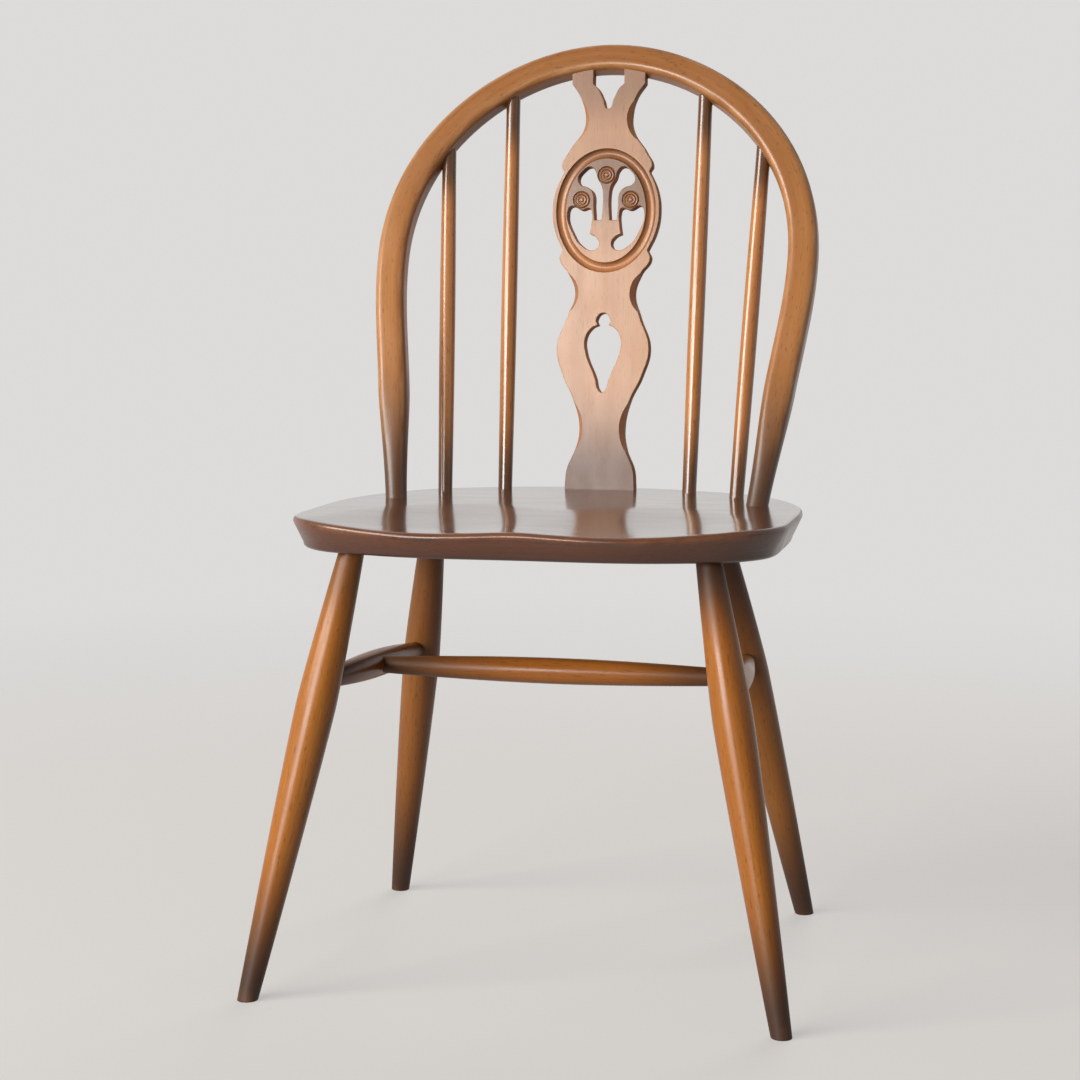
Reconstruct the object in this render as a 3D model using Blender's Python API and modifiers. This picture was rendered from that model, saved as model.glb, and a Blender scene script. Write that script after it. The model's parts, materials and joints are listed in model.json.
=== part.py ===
"""A bow-backed wooden dining chair with a pierced thistle splat.

Units are metres. X runs to the viewer's right, the chair faces -Y and Z is up.
The origin is on the floor under the middle of the chair. Left is -X, right is +X.
"""

import math

import bmesh
import bpy
from mathutils import Matrix, Vector

# Joints
GLUE_GAP = 0.0003

# Seat: a thick board with a rounded lip, undercut sides and two hollows
SEAT_HEIGHT = 0.432
SEAT_THICKNESS = 0.029
SEAT_HALF_WIDTH = 0.2295
SEAT_FRONT = -0.2112
SEAT_BACK = 0.1988
SEAT_LIP_RADIUS = 0.006
SEAT_LIP_BAND = 0.001
SEAT_UNDERCUT = 0.010
SEAT_FOOT_RADIUS = 0.007
# Half of the plan, front to back: share of the half width, share of the depth
SEAT_PLAN = [
    (0.0, 0.0), (0.62, 0.025), (0.93, 0.125), (1.0, 0.32), (0.83, 0.80), (0.48, 0.95), (0.0, 1.0),
]
HOLLOW_X = 0.088
HOLLOW_Y = -0.185
HOLLOW_HALF_WIDTH = 0.108
HOLLOW_HALF_LENGTH = 0.160
HOLLOW_DEPTH = 0.0065

# Legs, the same turning four times: the places of the axes on the floor and under the seat
FRONT_FOOT_X = 0.2424
FRONT_FOOT_Y = -0.2304
FRONT_LEG_TOP_X = 0.1637
FRONT_LEG_TOP_Y = -0.1534
REAR_FOOT_X = 0.2153
REAR_FOOT_Y = 0.1736
REAR_LEG_TOP_X = 0.1425
REAR_LEG_TOP_Y = 0.0485
LEG_TOP_RADIUS = 0.0115
LEG_SWELL_RADIUS = 0.0183
LEG_FOOT_RADIUS = 0.0093
LEG_SWELL_HEIGHT = 0.265
LEG_TAPER_POWER = 1.28
LEG_TENON = 0.018
LEG_WEDGE_LENGTH = 0.013
WEDGE_THICKNESS = 0.003
WEDGE_TIP_THICKNESS = 0.001

# Stretchers: heights at which their axes meet the legs
STRETCHER_FRONT_HEIGHT = 0.285
STRETCHER_REAR_HEIGHT = 0.275
STRETCHER_END_RADIUS = 0.0083
SIDE_STRETCHER_RADIUS = 0.0132
CROSS_STRETCHER_RADIUS = 0.0124
CROSS_STRETCHER_Y = -0.046
# Straight stretch that shows between a joint and the start of the swelling
STRETCHER_SHOULDER = 0.0035

# Bow: one bent length in a plane that leans back, measured along that plane from the seat
BOW_FOOT_X = 0.1795
BOW_FOOT_Y = 0.0455
BOW_RAKE = 22.6
BOW_FOOT_SPLAY = 7.2
BOW_HALF_WIDTH = 0.2092
BOW_WIDEST = 0.2564
BOW_RISE = 0.4735
BOW_SHOULDER_FULLNESS = 0.6045
BOW_CROWN_FULLNESS = 0.481
BOW_LIMB_FULLNESS = 0.36
BOW_WIDTH = 0.0275
BOW_DEPTH = 0.0245
BOW_CORNER = 0.0070
BOW_FOOT_SCALE = 0.77
BOW_LIMB_SCALE = 1.07
BOW_TAPER_LENGTH = 0.120
BOW_WEDGE_LENGTH = 0.018
# Spare length of the feet and their wedges below the seat, sawn off flush
BOW_FOOT_SPARE = 0.013

# Sticks: places on the seat and half widths at which they run into the bow
OUTER_STICK_X = 0.1490
OUTER_STICK_Y = 0.1187
OUTER_STICK_TOP_X = 0.1634
INNER_STICK_X = 0.0955
INNER_STICK_Y = 0.1562
INNER_STICK_TOP_X = 0.1002
STICK_RADIUS = 0.0081
STICK_END_RADIUS = 0.0072
STICK_TENON = 0.016
STICK_SHOULDER = 0.008
STICK_TOP_STRAIGHT = 0.041

# Splat: a flat pierced board that leans back between the seat and the crown of the bow
SPLAT_Y = 0.1779
SPLAT_RAKE = 6.0
SPLAT_THICKNESS = 0.015
SPLAT_FOOT_TENON = 0.012
SPLAT_PRONG_TENON = 0.009
# Half outline as drawn, from the seat to the bow: half width, height, and corner or smooth, C or S
SPLAT_SIDE = [
    (0.0362, 0.004, "C"), (0.0345, 0.020, "S"), (0.0262, 0.041, "S"), (0.0235, 0.062, "S"),
    (0.0290, 0.090, "S"), (0.0410, 0.116, "S"), (0.0480, 0.145, "S"), (0.0375, 0.177, "S"),
    (0.0312, 0.2005, "S"), (0.0375, 0.2205, "S"), (0.0472, 0.236, "S"), (0.0440, 0.2445, "C"),
    (0.0526, 0.264, "S"), (0.0556, 0.2852, "S"), (0.0526, 0.3064, "S"), (0.0442, 0.3252, "C"),
    (0.0470, 0.331, "S"), (0.0405, 0.345, "S"), (0.0255, 0.369, "S"), (0.0246, 0.386, "S"),
    (0.0290, 0.4015, "S"), (0.0380, 0.415, "C"), (0.0380, 0.426, "C"),
]
# The notch between the prongs, from the bow down to its bottom
PRONG_NOTCH = [
    (0.0160, 0.426, "C"), (0.0160, 0.415, "C"), (0.0105, 0.4095, "S"), (0.0056, 0.400, "S"),
    (0.0, 0.3895, "S"),
]
# Piercings as drawn, each point as above; the first two come in left and right copies
UPPER_OPENING = [
    (0.0042, 0.2755, "C"), (0.0115, 0.2755, "C"), (0.0125, 0.288, "S"), (0.0143, 0.3045, "S"),
    (0.0190, 0.3088, "S"), (0.0268, 0.3118, "S"), (0.0295, 0.3175, "S"), (0.0245, 0.326, "S"),
    (0.0170, 0.3300, "S"), (0.0118, 0.3258, "S"), (0.0095, 0.3185, "S"), (0.0048, 0.3098, "S"),
    (0.0034, 0.3020, "S"),
]
LOWER_OPENING = [
    (0.0143, 0.2820, "S"), (0.0165, 0.2873, "S"), (0.0255, 0.2860, "S"), (0.0362, 0.2898, "S"),
    (0.0398, 0.2830, "S"), (0.0338, 0.2620, "S"), (0.0240, 0.2490, "S"), (0.0120, 0.2447, "S"),
    (0.0064, 0.2510, "S"), (0.0100, 0.2580, "S"), (0.0163, 0.2615, "C"), (0.0148, 0.2710, "S"),
]
PEAR_SIDE = [
    (0.0, 0.0994, "S"), (0.0045, 0.1040, "S"), (0.0090, 0.1180, "S"), (0.0178, 0.1410, "S"),
    (0.0184, 0.1540, "S"), (0.0123, 0.1645, "S"), (0.0057, 0.1680, "C"), (0.0073, 0.1735, "S"),
    (0.0, 0.1803, "S"),
]
# Carving: an oval groove, three turned roundels and stopped chamfers in the waists
GROOVE_HEIGHT = 0.2852
GROOVE_HALF_WIDTH = 0.0467
GROOVE_HALF_LENGTH = 0.0582
GROOVE_RADIUS = 0.0057
GROOVE_DEPTH = 0.0034
ROUNDEL_RADIUS = 0.0092
ROUNDEL_DEPTH = 0.0014
ROUNDEL_RING_RISE = 0.001
TOP_ROUNDEL_HEIGHT = 0.3215
SIDE_ROUNDEL_X = 0.0255
SIDE_ROUNDEL_HEIGHT = 0.2962
CHAMFER_WIDTH = 0.0034
# Waist half width, waist height and the radius of the chamfering cutter
WAISTS = [(0.0235, 0.062, 0.055), (0.0312, 0.2005, 0.030), (0.0243, 0.379, 0.034)]

# Cutters: how far one stands clear of what it enters, and the size of one that trims a whole plane
CUT_MARGIN = 0.004
TRIM_SIZE = 1.2

# Facets and merging
LEG_SIDES = 20
LEG_STEPS = 11
ROD_SIDES = 16
ROD_STEPS = 8
BOW_STEPS = 8
CORNER_STEPS = 3
PLAN_STEPS = 7
HOLLOW_SIDES = 72
SPLAT_STEPS = 4
GROOVE_STEPS = 10
GROOVE_ROUNDNESS = 3
ROUNDEL_SIDES = 18
ROUNDEL_RINGS = 4
CHAMFER_SIDES = 96
HALVINGS = 40
MERGE_DISTANCE = 0.00001
FLAT_ANGLE = math.radians(0.5)
SHARP_ANGLE = math.radians(35.0)

SIDES = ((-1, "left"), (1, "right"))
parts = bpy.data.collections.new("thistle_back_chair")
cutters = bpy.data.collections.new("cutters")


def wood(name, colour, roughness):
    """A lacquered wood of one colour."""
    material = bpy.data.materials.new(name)
    material.use_nodes = True
    shader = material.node_tree.nodes["Principled BSDF"]
    shader.inputs["Base Color"].default_value = (*colour, 1.0)
    shader.inputs["Roughness"].default_value = roughness
    shader.inputs["Metallic"].default_value = 0.0
    return material


def add(name, data, collection, material=None):
    """A new object in one of the two collections; cutters are kept out of the render."""
    thing = bpy.data.objects.new(name, data)
    collection.objects.link(thing)
    if collection is cutters:
        thing.hide_render = True
        thing.display_type = "WIRE"
    if material:
        thing.data.materials.append(material)
    return thing


def add_shape(name, shape, collection, material=None):
    """A new object from a filled bmesh."""
    mesh = bpy.data.meshes.new(name)
    shape.to_mesh(mesh)
    shape.free()
    return add(name, mesh, collection, material)


def solid_from_curve(curve, collection, material=None):
    """A curve object made into a closed mesh that can be cut."""
    bpy.context.view_layer.update()
    evaluated = curve.evaluated_get(bpy.context.evaluated_depsgraph_get())
    mesh = bpy.data.meshes.new_from_object(evaluated)
    shape = bmesh.new()
    shape.from_mesh(mesh)
    bmesh.ops.remove_doubles(shape, verts=shape.verts, dist=MERGE_DISTANCE)
    bmesh.ops.recalc_face_normals(shape, faces=shape.faces)
    shape.to_mesh(mesh)
    shape.free()
    mesh.shade_smooth()
    mesh.set_sharp_from_angle(angle=SHARP_ANGLE)
    mesh.materials.clear()
    name = curve.name
    place = curve.matrix_world.copy()
    bpy.data.objects.remove(curve)
    solid = add(name, mesh, collection, material)
    solid.matrix_world = place
    return solid


def along(start, end):
    """The matrix that lays local Z on the line from start to end, with its origin at start."""
    turn = (end - start).to_track_quat("Z", "Y")
    return Matrix.Translation(start) @ turn.to_matrix().to_4x4()


def turned(name, profile, start, end, sides, collection, material=None):
    """A turned piece; profile holds distance from start and radius, in order from start to end."""
    outline = [(0.0, 0.0, profile[-1][0])]
    outline += [(radius, 0.0, distance) for distance, radius in reversed(profile)]
    outline += [(0.0, 0.0, profile[0][0])]
    mesh = bpy.data.meshes.new(name)
    mesh.from_pydata(outline, [(i, i + 1) for i in range(len(outline) - 1)], [])
    piece = add(name, mesh, collection, material)
    screw = piece.modifiers.new("Turning", "SCREW")
    screw.axis = "Z"
    screw.steps = sides
    screw.render_steps = sides
    screw.use_merge_vertices = True
    screw.merge_threshold = MERGE_DISTANCE
    screw.use_smooth_shade = True
    piece.matrix_world = along(start, end)
    return piece


def cut(piece, cutter):
    """Take the cutter out of the piece."""
    boolean = piece.modifiers.new(cutter.name, "BOOLEAN")
    boolean.operation = "DIFFERENCE"
    boolean.object = cutter


def drill(piece, start, end, radius):
    """Drill a blind hole from start, outside the piece, to end."""
    hole = [(0.0, radius), ((end - start).length, radius)]
    cut(piece, turned(piece.name + "_hole", hole, start, end, ROD_SIDES, cutters))


def box(name, size, collection, material=None):
    """A box about its own origin."""
    shape = bmesh.new()
    bmesh.ops.create_cube(shape, size=1.0, matrix=Matrix.Diagonal((*size, 1.0)))
    return add_shape(name, shape, collection, material)


def wedge(name, width, length, extra, collection, material=None):
    """A wedge driven along -Z: its thick end is at the origin, and extra is added all round."""
    shape = bmesh.new()
    bmesh.ops.create_cube(shape, size=1.0)
    for corner in shape.verts:
        thickness = WEDGE_THICKNESS if corner.co.z > 0 else WEDGE_TIP_THICKNESS
        corner.co.x *= width + 2 * extra
        corner.co.y *= thickness + 2 * extra
        corner.co.z = extra if corner.co.z > 0 else -length - extra
    return add_shape(name, shape, collection, material)


def mirrored(half):
    """A closed outline from its right half, whose first and last points may lie on the axis."""
    left = [(-x, y, kind) for x, y, kind in reversed(half) if x > 0]
    return half + left


def outline_curve(name, outlines, resolution, collection):
    """A flat 2D curve of closed outlines, whose points are x, y and C for corner or S for smooth."""
    data = bpy.data.curves.new(name, "CURVE")
    data.dimensions = "2D"
    data.fill_mode = "BOTH"
    data.resolution_u = resolution
    for outline in outlines:
        spline = data.splines.new("BEZIER")
        spline.bezier_points.add(len(outline) - 1)
        spline.use_cyclic_u = True
        for point, (x, y, kind) in zip(spline.bezier_points, outline):
            point.co = (x, y, 0.0)
            handle = "VECTOR" if kind == "C" else "AUTO"
            point.handle_left_type = handle
            point.handle_right_type = handle
    return add(name, data, collection)


def leg_axis(side, foot_x, foot_y, top_x, top_y):
    """The points of a leg's axis on the floor and at the underside of the seat."""
    foot = Vector((side * foot_x, foot_y, 0.0))
    top = Vector((side * top_x, top_y, SEAT_HEIGHT - SEAT_THICKNESS))
    return foot, top


def front_leg_axis(side):
    return leg_axis(side, FRONT_FOOT_X, FRONT_FOOT_Y, FRONT_LEG_TOP_X, FRONT_LEG_TOP_Y)


def rear_leg_axis(side):
    return leg_axis(side, REAR_FOOT_X, REAR_FOOT_Y, REAR_LEG_TOP_X, REAR_LEG_TOP_Y)


def at_height(axis, height):
    """The point of a leg's axis at a height above the floor."""
    foot, top = axis
    return foot + (top - foot) * (height / top.z)


def leg_radius(height):
    """The radius of a leg's turning: fullest at the swell, tapering to the foot and to the seat."""
    if height < LEG_SWELL_HEIGHT:
        end_radius = LEG_FOOT_RADIUS
        share = (LEG_SWELL_HEIGHT - height) / LEG_SWELL_HEIGHT
    else:
        end_radius = LEG_TOP_RADIUS
        share = (height - LEG_SWELL_HEIGHT) / (SEAT_HEIGHT - SEAT_THICKNESS - LEG_SWELL_HEIGHT)
    return end_radius + (LEG_SWELL_RADIUS - end_radius) * (1.0 - min(share, 1.0) ** LEG_TAPER_POWER)


def side_stretcher_axis(side):
    front = at_height(front_leg_axis(side), STRETCHER_FRONT_HEIGHT)
    rear = at_height(rear_leg_axis(side), STRETCHER_REAR_HEIGHT)
    return front, rear


def cross_stretcher_end(side):
    front, rear = side_stretcher_axis(side)
    return front.lerp(rear, (CROSS_STRETCHER_Y - front.y) / (rear.y - front.y))


def swelling(length, first, last, end_radius, middle_radius):
    """The profile of a rod with a swelling between a straight first and a straight last stretch."""
    profile = [(0.0, end_radius)]
    for i in range(ROD_STEPS + 1):
        share = i / ROD_STEPS
        radius = end_radius + (middle_radius - end_radius) * math.sin(math.pi * share)
        profile.append((first + (length - first - last) * share, radius))
    profile.append((length, end_radius))
    return profile


def bow_place():
    """The matrix of the bow's plane: local X across, local Y up the bow, origin on the seat."""
    lean = Matrix.Rotation(math.radians(90.0 - BOW_RAKE), 4, "X")
    return Matrix.Translation((0.0, BOW_FOOT_Y, SEAT_HEIGHT)) @ lean


def bow_knots():
    """The right half of the bow's centre line: its foot, then the curves of its limb and its arch."""
    splay = math.radians(BOW_FOOT_SPLAY)
    upwards = Vector((math.sin(splay), math.cos(splay)))
    foot = Vector((BOW_FOOT_X, 0.0))
    limb = foot + upwards * BOW_TAPER_LENGTH
    shoulder = Vector((BOW_HALF_WIDTH, BOW_WIDEST))
    crown = Vector((0.0, BOW_RISE))
    reach = BOW_LIMB_FULLNESS * (BOW_WIDEST - BOW_TAPER_LENGTH)
    rise = BOW_SHOULDER_FULLNESS * (BOW_RISE - BOW_WIDEST)
    across = BOW_CROWN_FULLNESS * BOW_HALF_WIDTH
    return {
        "upwards": upwards,
        "foot": foot,
        "limb": (limb, limb + upwards * reach, shoulder - Vector((0.0, reach)), shoulder),
        "arch": (shoulder, shoulder + Vector((0.0, rise)), crown + Vector((across, 0.0)), crown),
    }


def bow_point(half_width):
    """The point of the upper bow's centre line at a distance from the middle, found by halving."""
    a, b, c, d = bow_knots()["arch"]
    low, high = 0.0, 1.0
    for _ in range(HALVINGS):
        t = (low + high) / 2
        s = 1.0 - t
        point = a * s**3 + b * 3 * s * s * t + c * 3 * s * t * t + d * t**3
        if point.x > half_width:
            low = t
        else:
            high = t
    return bow_place() @ Vector((point.x, point.y, 0.0))


def through_seat():
    """The length of bow that passes through the seat, along the bow."""
    slope = math.cos(math.radians(BOW_RAKE)) * math.cos(math.radians(BOW_FOOT_SPLAY))
    return SEAT_THICKNESS / slope


def bow_sweep(name, extra, collection, material=None):
    """The bow swept from a rounded section, or with extra all round at its feet, its cutter."""
    grown = extra / BOW_FOOT_SCALE
    half_width = BOW_WIDTH / 2 + grown
    half_depth = BOW_DEPTH / 2 + grown
    corner = BOW_CORNER + grown
    arc = []
    for quarter, (x, y) in enumerate([(1, 1), (-1, 1), (-1, -1), (1, -1)]):
        for step in range(CORNER_STEPS + 1):
            angle = math.radians(90.0 * (quarter + step / CORNER_STEPS))
            across = x * (half_width - corner) + corner * math.cos(angle)
            deep = y * (half_depth - corner) + corner * math.sin(angle)
            arc.append((across, deep))
    section_data = bpy.data.curves.new(name + "_section", "CURVE")
    ring = section_data.splines.new("POLY")
    ring.points.add(len(arc) - 1)
    ring.use_cyclic_u = True
    for point, (x, y) in zip(ring.points, arc):
        point.co = (x, y, 0.0, 1.0)
    section = add(name + "_section", section_data, cutters)

    knots = bow_knots()
    foot = knots["foot"]
    limb, limb_high, shoulder_low, shoulder = knots["limb"]
    _, shoulder_high, crown_handle, crown = knots["arch"]
    tail = foot - knots["upwards"] * (through_seat() + BOW_FOOT_SPARE)
    straight = (limb - foot) / 3
    right = [
        (tail, tail, (tail + foot) / 2, BOW_FOOT_SCALE),
        ((tail + foot) / 2, foot, foot + straight, BOW_FOOT_SCALE),
        (limb - straight, limb, limb_high, BOW_LIMB_SCALE),
        (shoulder_low, shoulder, shoulder_high, BOW_LIMB_SCALE),
    ]
    left = [((-c.x, c.y), (-b.x, b.y), (-a.x, a.y), scale) for a, b, c, scale in reversed(right)]
    top = [(crown_handle, crown, (-crown_handle.x, crown_handle.y), 1.0)]
    data = bpy.data.curves.new(name, "CURVE")
    data.dimensions = "3D"
    data.twist_mode = "Z_UP"
    data.resolution_u = BOW_STEPS
    data.bevel_mode = "OBJECT"
    data.bevel_object = section
    data.use_fill_caps = True
    spline = data.splines.new("BEZIER")
    spline.radius_interpolation = "EASE"
    spline.bezier_points.add(len(right) + len(top) + len(left) - 1)
    for point, (before, place, after, scale) in zip(spline.bezier_points, right + top + left):
        point.handle_left_type = "FREE"
        point.handle_right_type = "FREE"
        point.co = (place[0], place[1], 0.0)
        point.handle_left = (before[0], before[1], 0.0)
        point.handle_right = (after[0], after[1], 0.0)
        point.radius = scale
    curve = add(name, data, collection)
    curve.matrix_world = bow_place()
    return solid_from_curve(curve, collection, material)


def stick_axis(side, foot_x, foot_y, top_x):
    """A stick's axis on the deck of the seat and on the centre line of the bow."""
    top = bow_point(top_x)
    return Vector((side * foot_x, foot_y, SEAT_HEIGHT)), Vector((side * top.x, top.y, top.z))


def splat_place():
    """The matrix of the splat: local X across, Y up the board, Z out of its front face."""
    lean = Matrix.Rotation(math.radians(90.0 - SPLAT_RAKE), 4, "X")
    return Matrix.Translation((0.0, SPLAT_Y, SEAT_HEIGHT)) @ lean


def prong_sides():
    """The distances of a prong's inner and outer side from the middle."""
    return PRONG_NOTCH[0][0], SPLAT_SIDE[-1][0]


def splat_height():
    """The board's height from the deck to the underside of the bow, over the middle of a prong."""
    prong = bow_point(sum(prong_sides()) / 2)
    underside = prong.z - BOW_WIDTH / 2 * math.cos(math.radians(BOW_RAKE))
    return (underside - SEAT_HEIGHT) / math.cos(math.radians(SPLAT_RAKE))


def drawn(height):
    """A height on the splat's drawing, stretched to the height between seat and bow."""
    drawn_height = SPLAT_SIDE[-1][1]
    return height * splat_height() / drawn_height


def on_splat(points):
    return [(x, drawn(height), kind) for x, height, kind in points]


def splat_outline():
    """The whole outline, with the foot that enters the seat and the prongs that enter the bow."""
    foot_x = SPLAT_SIDE[0][0]
    inner_x, outer_x = prong_sides()
    top = splat_height() + SPLAT_PRONG_TENON
    half = [(foot_x, -SPLAT_FOOT_TENON, "C")] + on_splat(SPLAT_SIDE)
    half += [(outer_x, top, "C"), (inner_x, top, "C")]
    half += on_splat(PRONG_NOTCH)
    return mirrored(half)


def round_over(shape, face, radius):
    """Raise a face by a radius in a few steps, rounding the edge around it."""
    for step in range(CORNER_STEPS):
        low = math.radians(90.0 * step / CORNER_STEPS)
        high = math.radians(90.0 * (step + 1) / CORNER_STEPS)
        inwards = radius * (math.cos(low) - math.cos(high))
        outwards = radius * (math.sin(high) - math.sin(low))
        bmesh.ops.inset_region(shape, faces=[face], thickness=inwards, depth=outwards)


def make_seat(material):
    depth = SEAT_BACK - SEAT_FRONT
    half = [(SEAT_HALF_WIDTH * x, SEAT_FRONT + depth * y, "S") for x, y in SEAT_PLAN]
    plan = outline_curve("seat", [mirrored(half)], PLAN_STEPS, parts)
    plan.data.extrude = SEAT_LIP_BAND / 2
    plan.location.z = SEAT_HEIGHT - SEAT_LIP_RADIUS - SEAT_LIP_BAND / 2
    seat = solid_from_curve(plan, parts, material)
    shape = bmesh.new()
    shape.from_mesh(seat.data)
    bmesh.ops.dissolve_limit(shape, angle_limit=FLAT_ANGLE, verts=shape.verts, edges=shape.edges)
    shape.normal_update()
    top = max(shape.faces, key=lambda face: face.normal.z)
    bottom = min(shape.faces, key=lambda face: face.normal.z)
    round_over(shape, top, SEAT_LIP_RADIUS)
    straight = SEAT_THICKNESS - SEAT_LIP_RADIUS - SEAT_LIP_BAND - SEAT_FOOT_RADIUS
    bmesh.ops.inset_region(shape, faces=[bottom], thickness=SEAT_UNDERCUT, depth=straight)
    round_over(shape, bottom, SEAT_FOOT_RADIUS)
    shape.to_mesh(seat.data)
    shape.free()

    radius = (HOLLOW_HALF_WIDTH**2 + HOLLOW_DEPTH**2) / (2 * HOLLOW_DEPTH)
    for side in (-1, 1):
        ball = bmesh.new()
        bmesh.ops.create_uvsphere(
            ball, u_segments=HOLLOW_SIDES, v_segments=HOLLOW_SIDES // 2, radius=radius
        )
        hollow = add_shape("seat_hollow", ball, cutters)
        hollow.scale.y = HOLLOW_HALF_LENGTH / HOLLOW_HALF_WIDTH
        hollow.location = (side * HOLLOW_X, HOLLOW_Y, SEAT_HEIGHT - HOLLOW_DEPTH + radius)
        cut(seat, hollow)
    return seat


def make_leg(name, axis, floor, material, wedge_material):
    """One leg with its blind tenon in the seat, and the wedge that spreads the tenon."""
    foot, top = axis
    length = (top - foot).length
    upright = top.z / length
    lean = math.acos(upright)
    below = LEG_FOOT_RADIUS * math.tan(lean) + GLUE_GAP
    straight = LEG_TOP_RADIUS * math.tan(lean) + GLUE_GAP
    profile = [(0.0, LEG_FOOT_RADIUS)]
    for i in range(LEG_STEPS + 1):
        share = i / LEG_STEPS
        profile.append((below + (length - straight) * share, leg_radius(top.z * share)))
    profile.append((below + length + LEG_TENON, LEG_TOP_RADIUS))
    direction = (top - foot).normalized()
    start = foot - direction * below
    leg = turned(name, profile, start, top, LEG_SIDES, parts, material)
    cut(leg, floor)

    width = 2 * math.sqrt(LEG_TOP_RADIUS**2 - WEDGE_THICKNESS**2 / 4) - 2 * GLUE_GAP
    place = along(top + direction * LEG_TENON, top + direction * (LEG_TENON + 1.0))
    piece = wedge(name + "_wedge", width, LEG_WEDGE_LENGTH, 0.0, parts, wedge_material)
    piece.matrix_world = place
    kerf = wedge(name + "_kerf", width + LEG_TOP_RADIUS, LEG_WEDGE_LENGTH, GLUE_GAP, cutters)
    kerf.matrix_world = place
    cut(leg, kerf)
    return leg


def make_stretcher(name, start, end, straight, radius, material):
    profile = swelling((end - start).length, straight, straight, STRETCHER_END_RADIUS, radius)
    return turned(name, profile, start, end, ROD_SIDES, parts, material)


def make_splat(material):
    outlines = [splat_outline(), mirrored(on_splat(PEAR_SIDE))]
    for opening in (UPPER_OPENING, LOWER_OPENING):
        right = on_splat(opening)
        outlines.append(right)
        outlines.append([(-x, y, kind) for x, y, kind in right])
    curve = outline_curve("splat", outlines, SPLAT_STEPS, parts)
    curve.data.extrude = SPLAT_THICKNESS / 2
    curve.matrix_world = splat_place()
    splat = solid_from_curve(curve, parts, material)
    face = SPLAT_THICKNESS / 2

    rise = drawn(GROOVE_HEIGHT)
    ring = bpy.data.curves.new("splat_groove", "CURVE")
    ring.dimensions = "3D"
    ring.bevel_depth = GROOVE_RADIUS
    ring.bevel_resolution = GROOVE_ROUNDNESS
    ring.resolution_u = GROOVE_STEPS
    oval = ring.splines.new("BEZIER")
    oval.bezier_points.add(3)
    oval.use_cyclic_u = True
    quarter = 4 / 3 * math.tan(math.pi / 8)
    for point, (x, y) in zip(oval.bezier_points, [(1, 0), (0, 1), (-1, 0), (0, -1)]):
        centre = Vector((x * GROOVE_HALF_WIDTH, y * GROOVE_HALF_LENGTH, 0.0))
        reach = Vector((-y * GROOVE_HALF_WIDTH, x * GROOVE_HALF_LENGTH, 0.0)) * quarter
        point.handle_left_type = "FREE"
        point.handle_right_type = "FREE"
        point.co = centre
        point.handle_left = centre - reach
        point.handle_right = centre + reach
    groove = add("splat_groove", ring, cutters)
    proud = face + GROOVE_RADIUS - GROOVE_DEPTH
    groove.matrix_world = splat_place() @ Matrix.Translation((0.0, rise, proud))
    cut(splat, solid_from_curve(groove, cutters))

    profile = []
    for i in range(1, ROUNDEL_RINGS + 1):
        raised = ROUNDEL_RING_RISE if i % 2 else 0.0
        profile.append((raised, ROUNDEL_RADIUS * i / ROUNDEL_RINGS))
    profile.append((ROUNDEL_DEPTH + CUT_MARGIN, ROUNDEL_RADIUS))
    spots = [(0.0, TOP_ROUNDEL_HEIGHT)]
    spots += [(side * SIDE_ROUNDEL_X, SIDE_ROUNDEL_HEIGHT) for side in (-1, 1)]
    for x, height in spots:
        base = splat_place() @ Vector((x, drawn(height), face - ROUNDEL_DEPTH))
        proud = splat_place() @ Vector((x, drawn(height), face + CUT_MARGIN))
        cut(splat, turned("splat_roundel", profile, base, proud, ROUNDEL_SIDES, cutters))

    for waist_x, waist_height, radius in WAISTS:
        for side in (-1, 1):
            cone = bmesh.new()
            bmesh.ops.create_cone(
                cone, cap_ends=True, segments=CHAMFER_SIDES, depth=2 * CHAMFER_WIDTH,
                radius1=radius - CHAMFER_WIDTH, radius2=radius + CHAMFER_WIDTH,
            )
            chamfer = add_shape("splat_chamfer", cone, cutters)
            middle = Vector((side * (waist_x - CHAMFER_WIDTH + radius), drawn(waist_height), face))
            chamfer.matrix_world = splat_place() @ Matrix.Translation(middle)
            cut(splat, chamfer)
    return splat


def board_slot(name, x_low, x_high, y_low, y_high):
    """A box in the splat's plane, grown by the glue gap, for a mortise that takes the board."""
    size = [x_high - x_low, y_high - y_low, SPLAT_THICKNESS]
    slot = box(name, [side + 2 * GLUE_GAP for side in size], cutters)
    middle = Vector(((x_low + x_high) / 2, (y_low + y_high) / 2, 0.0))
    slot.matrix_world = splat_place() @ Matrix.Translation(middle)
    return slot


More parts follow.
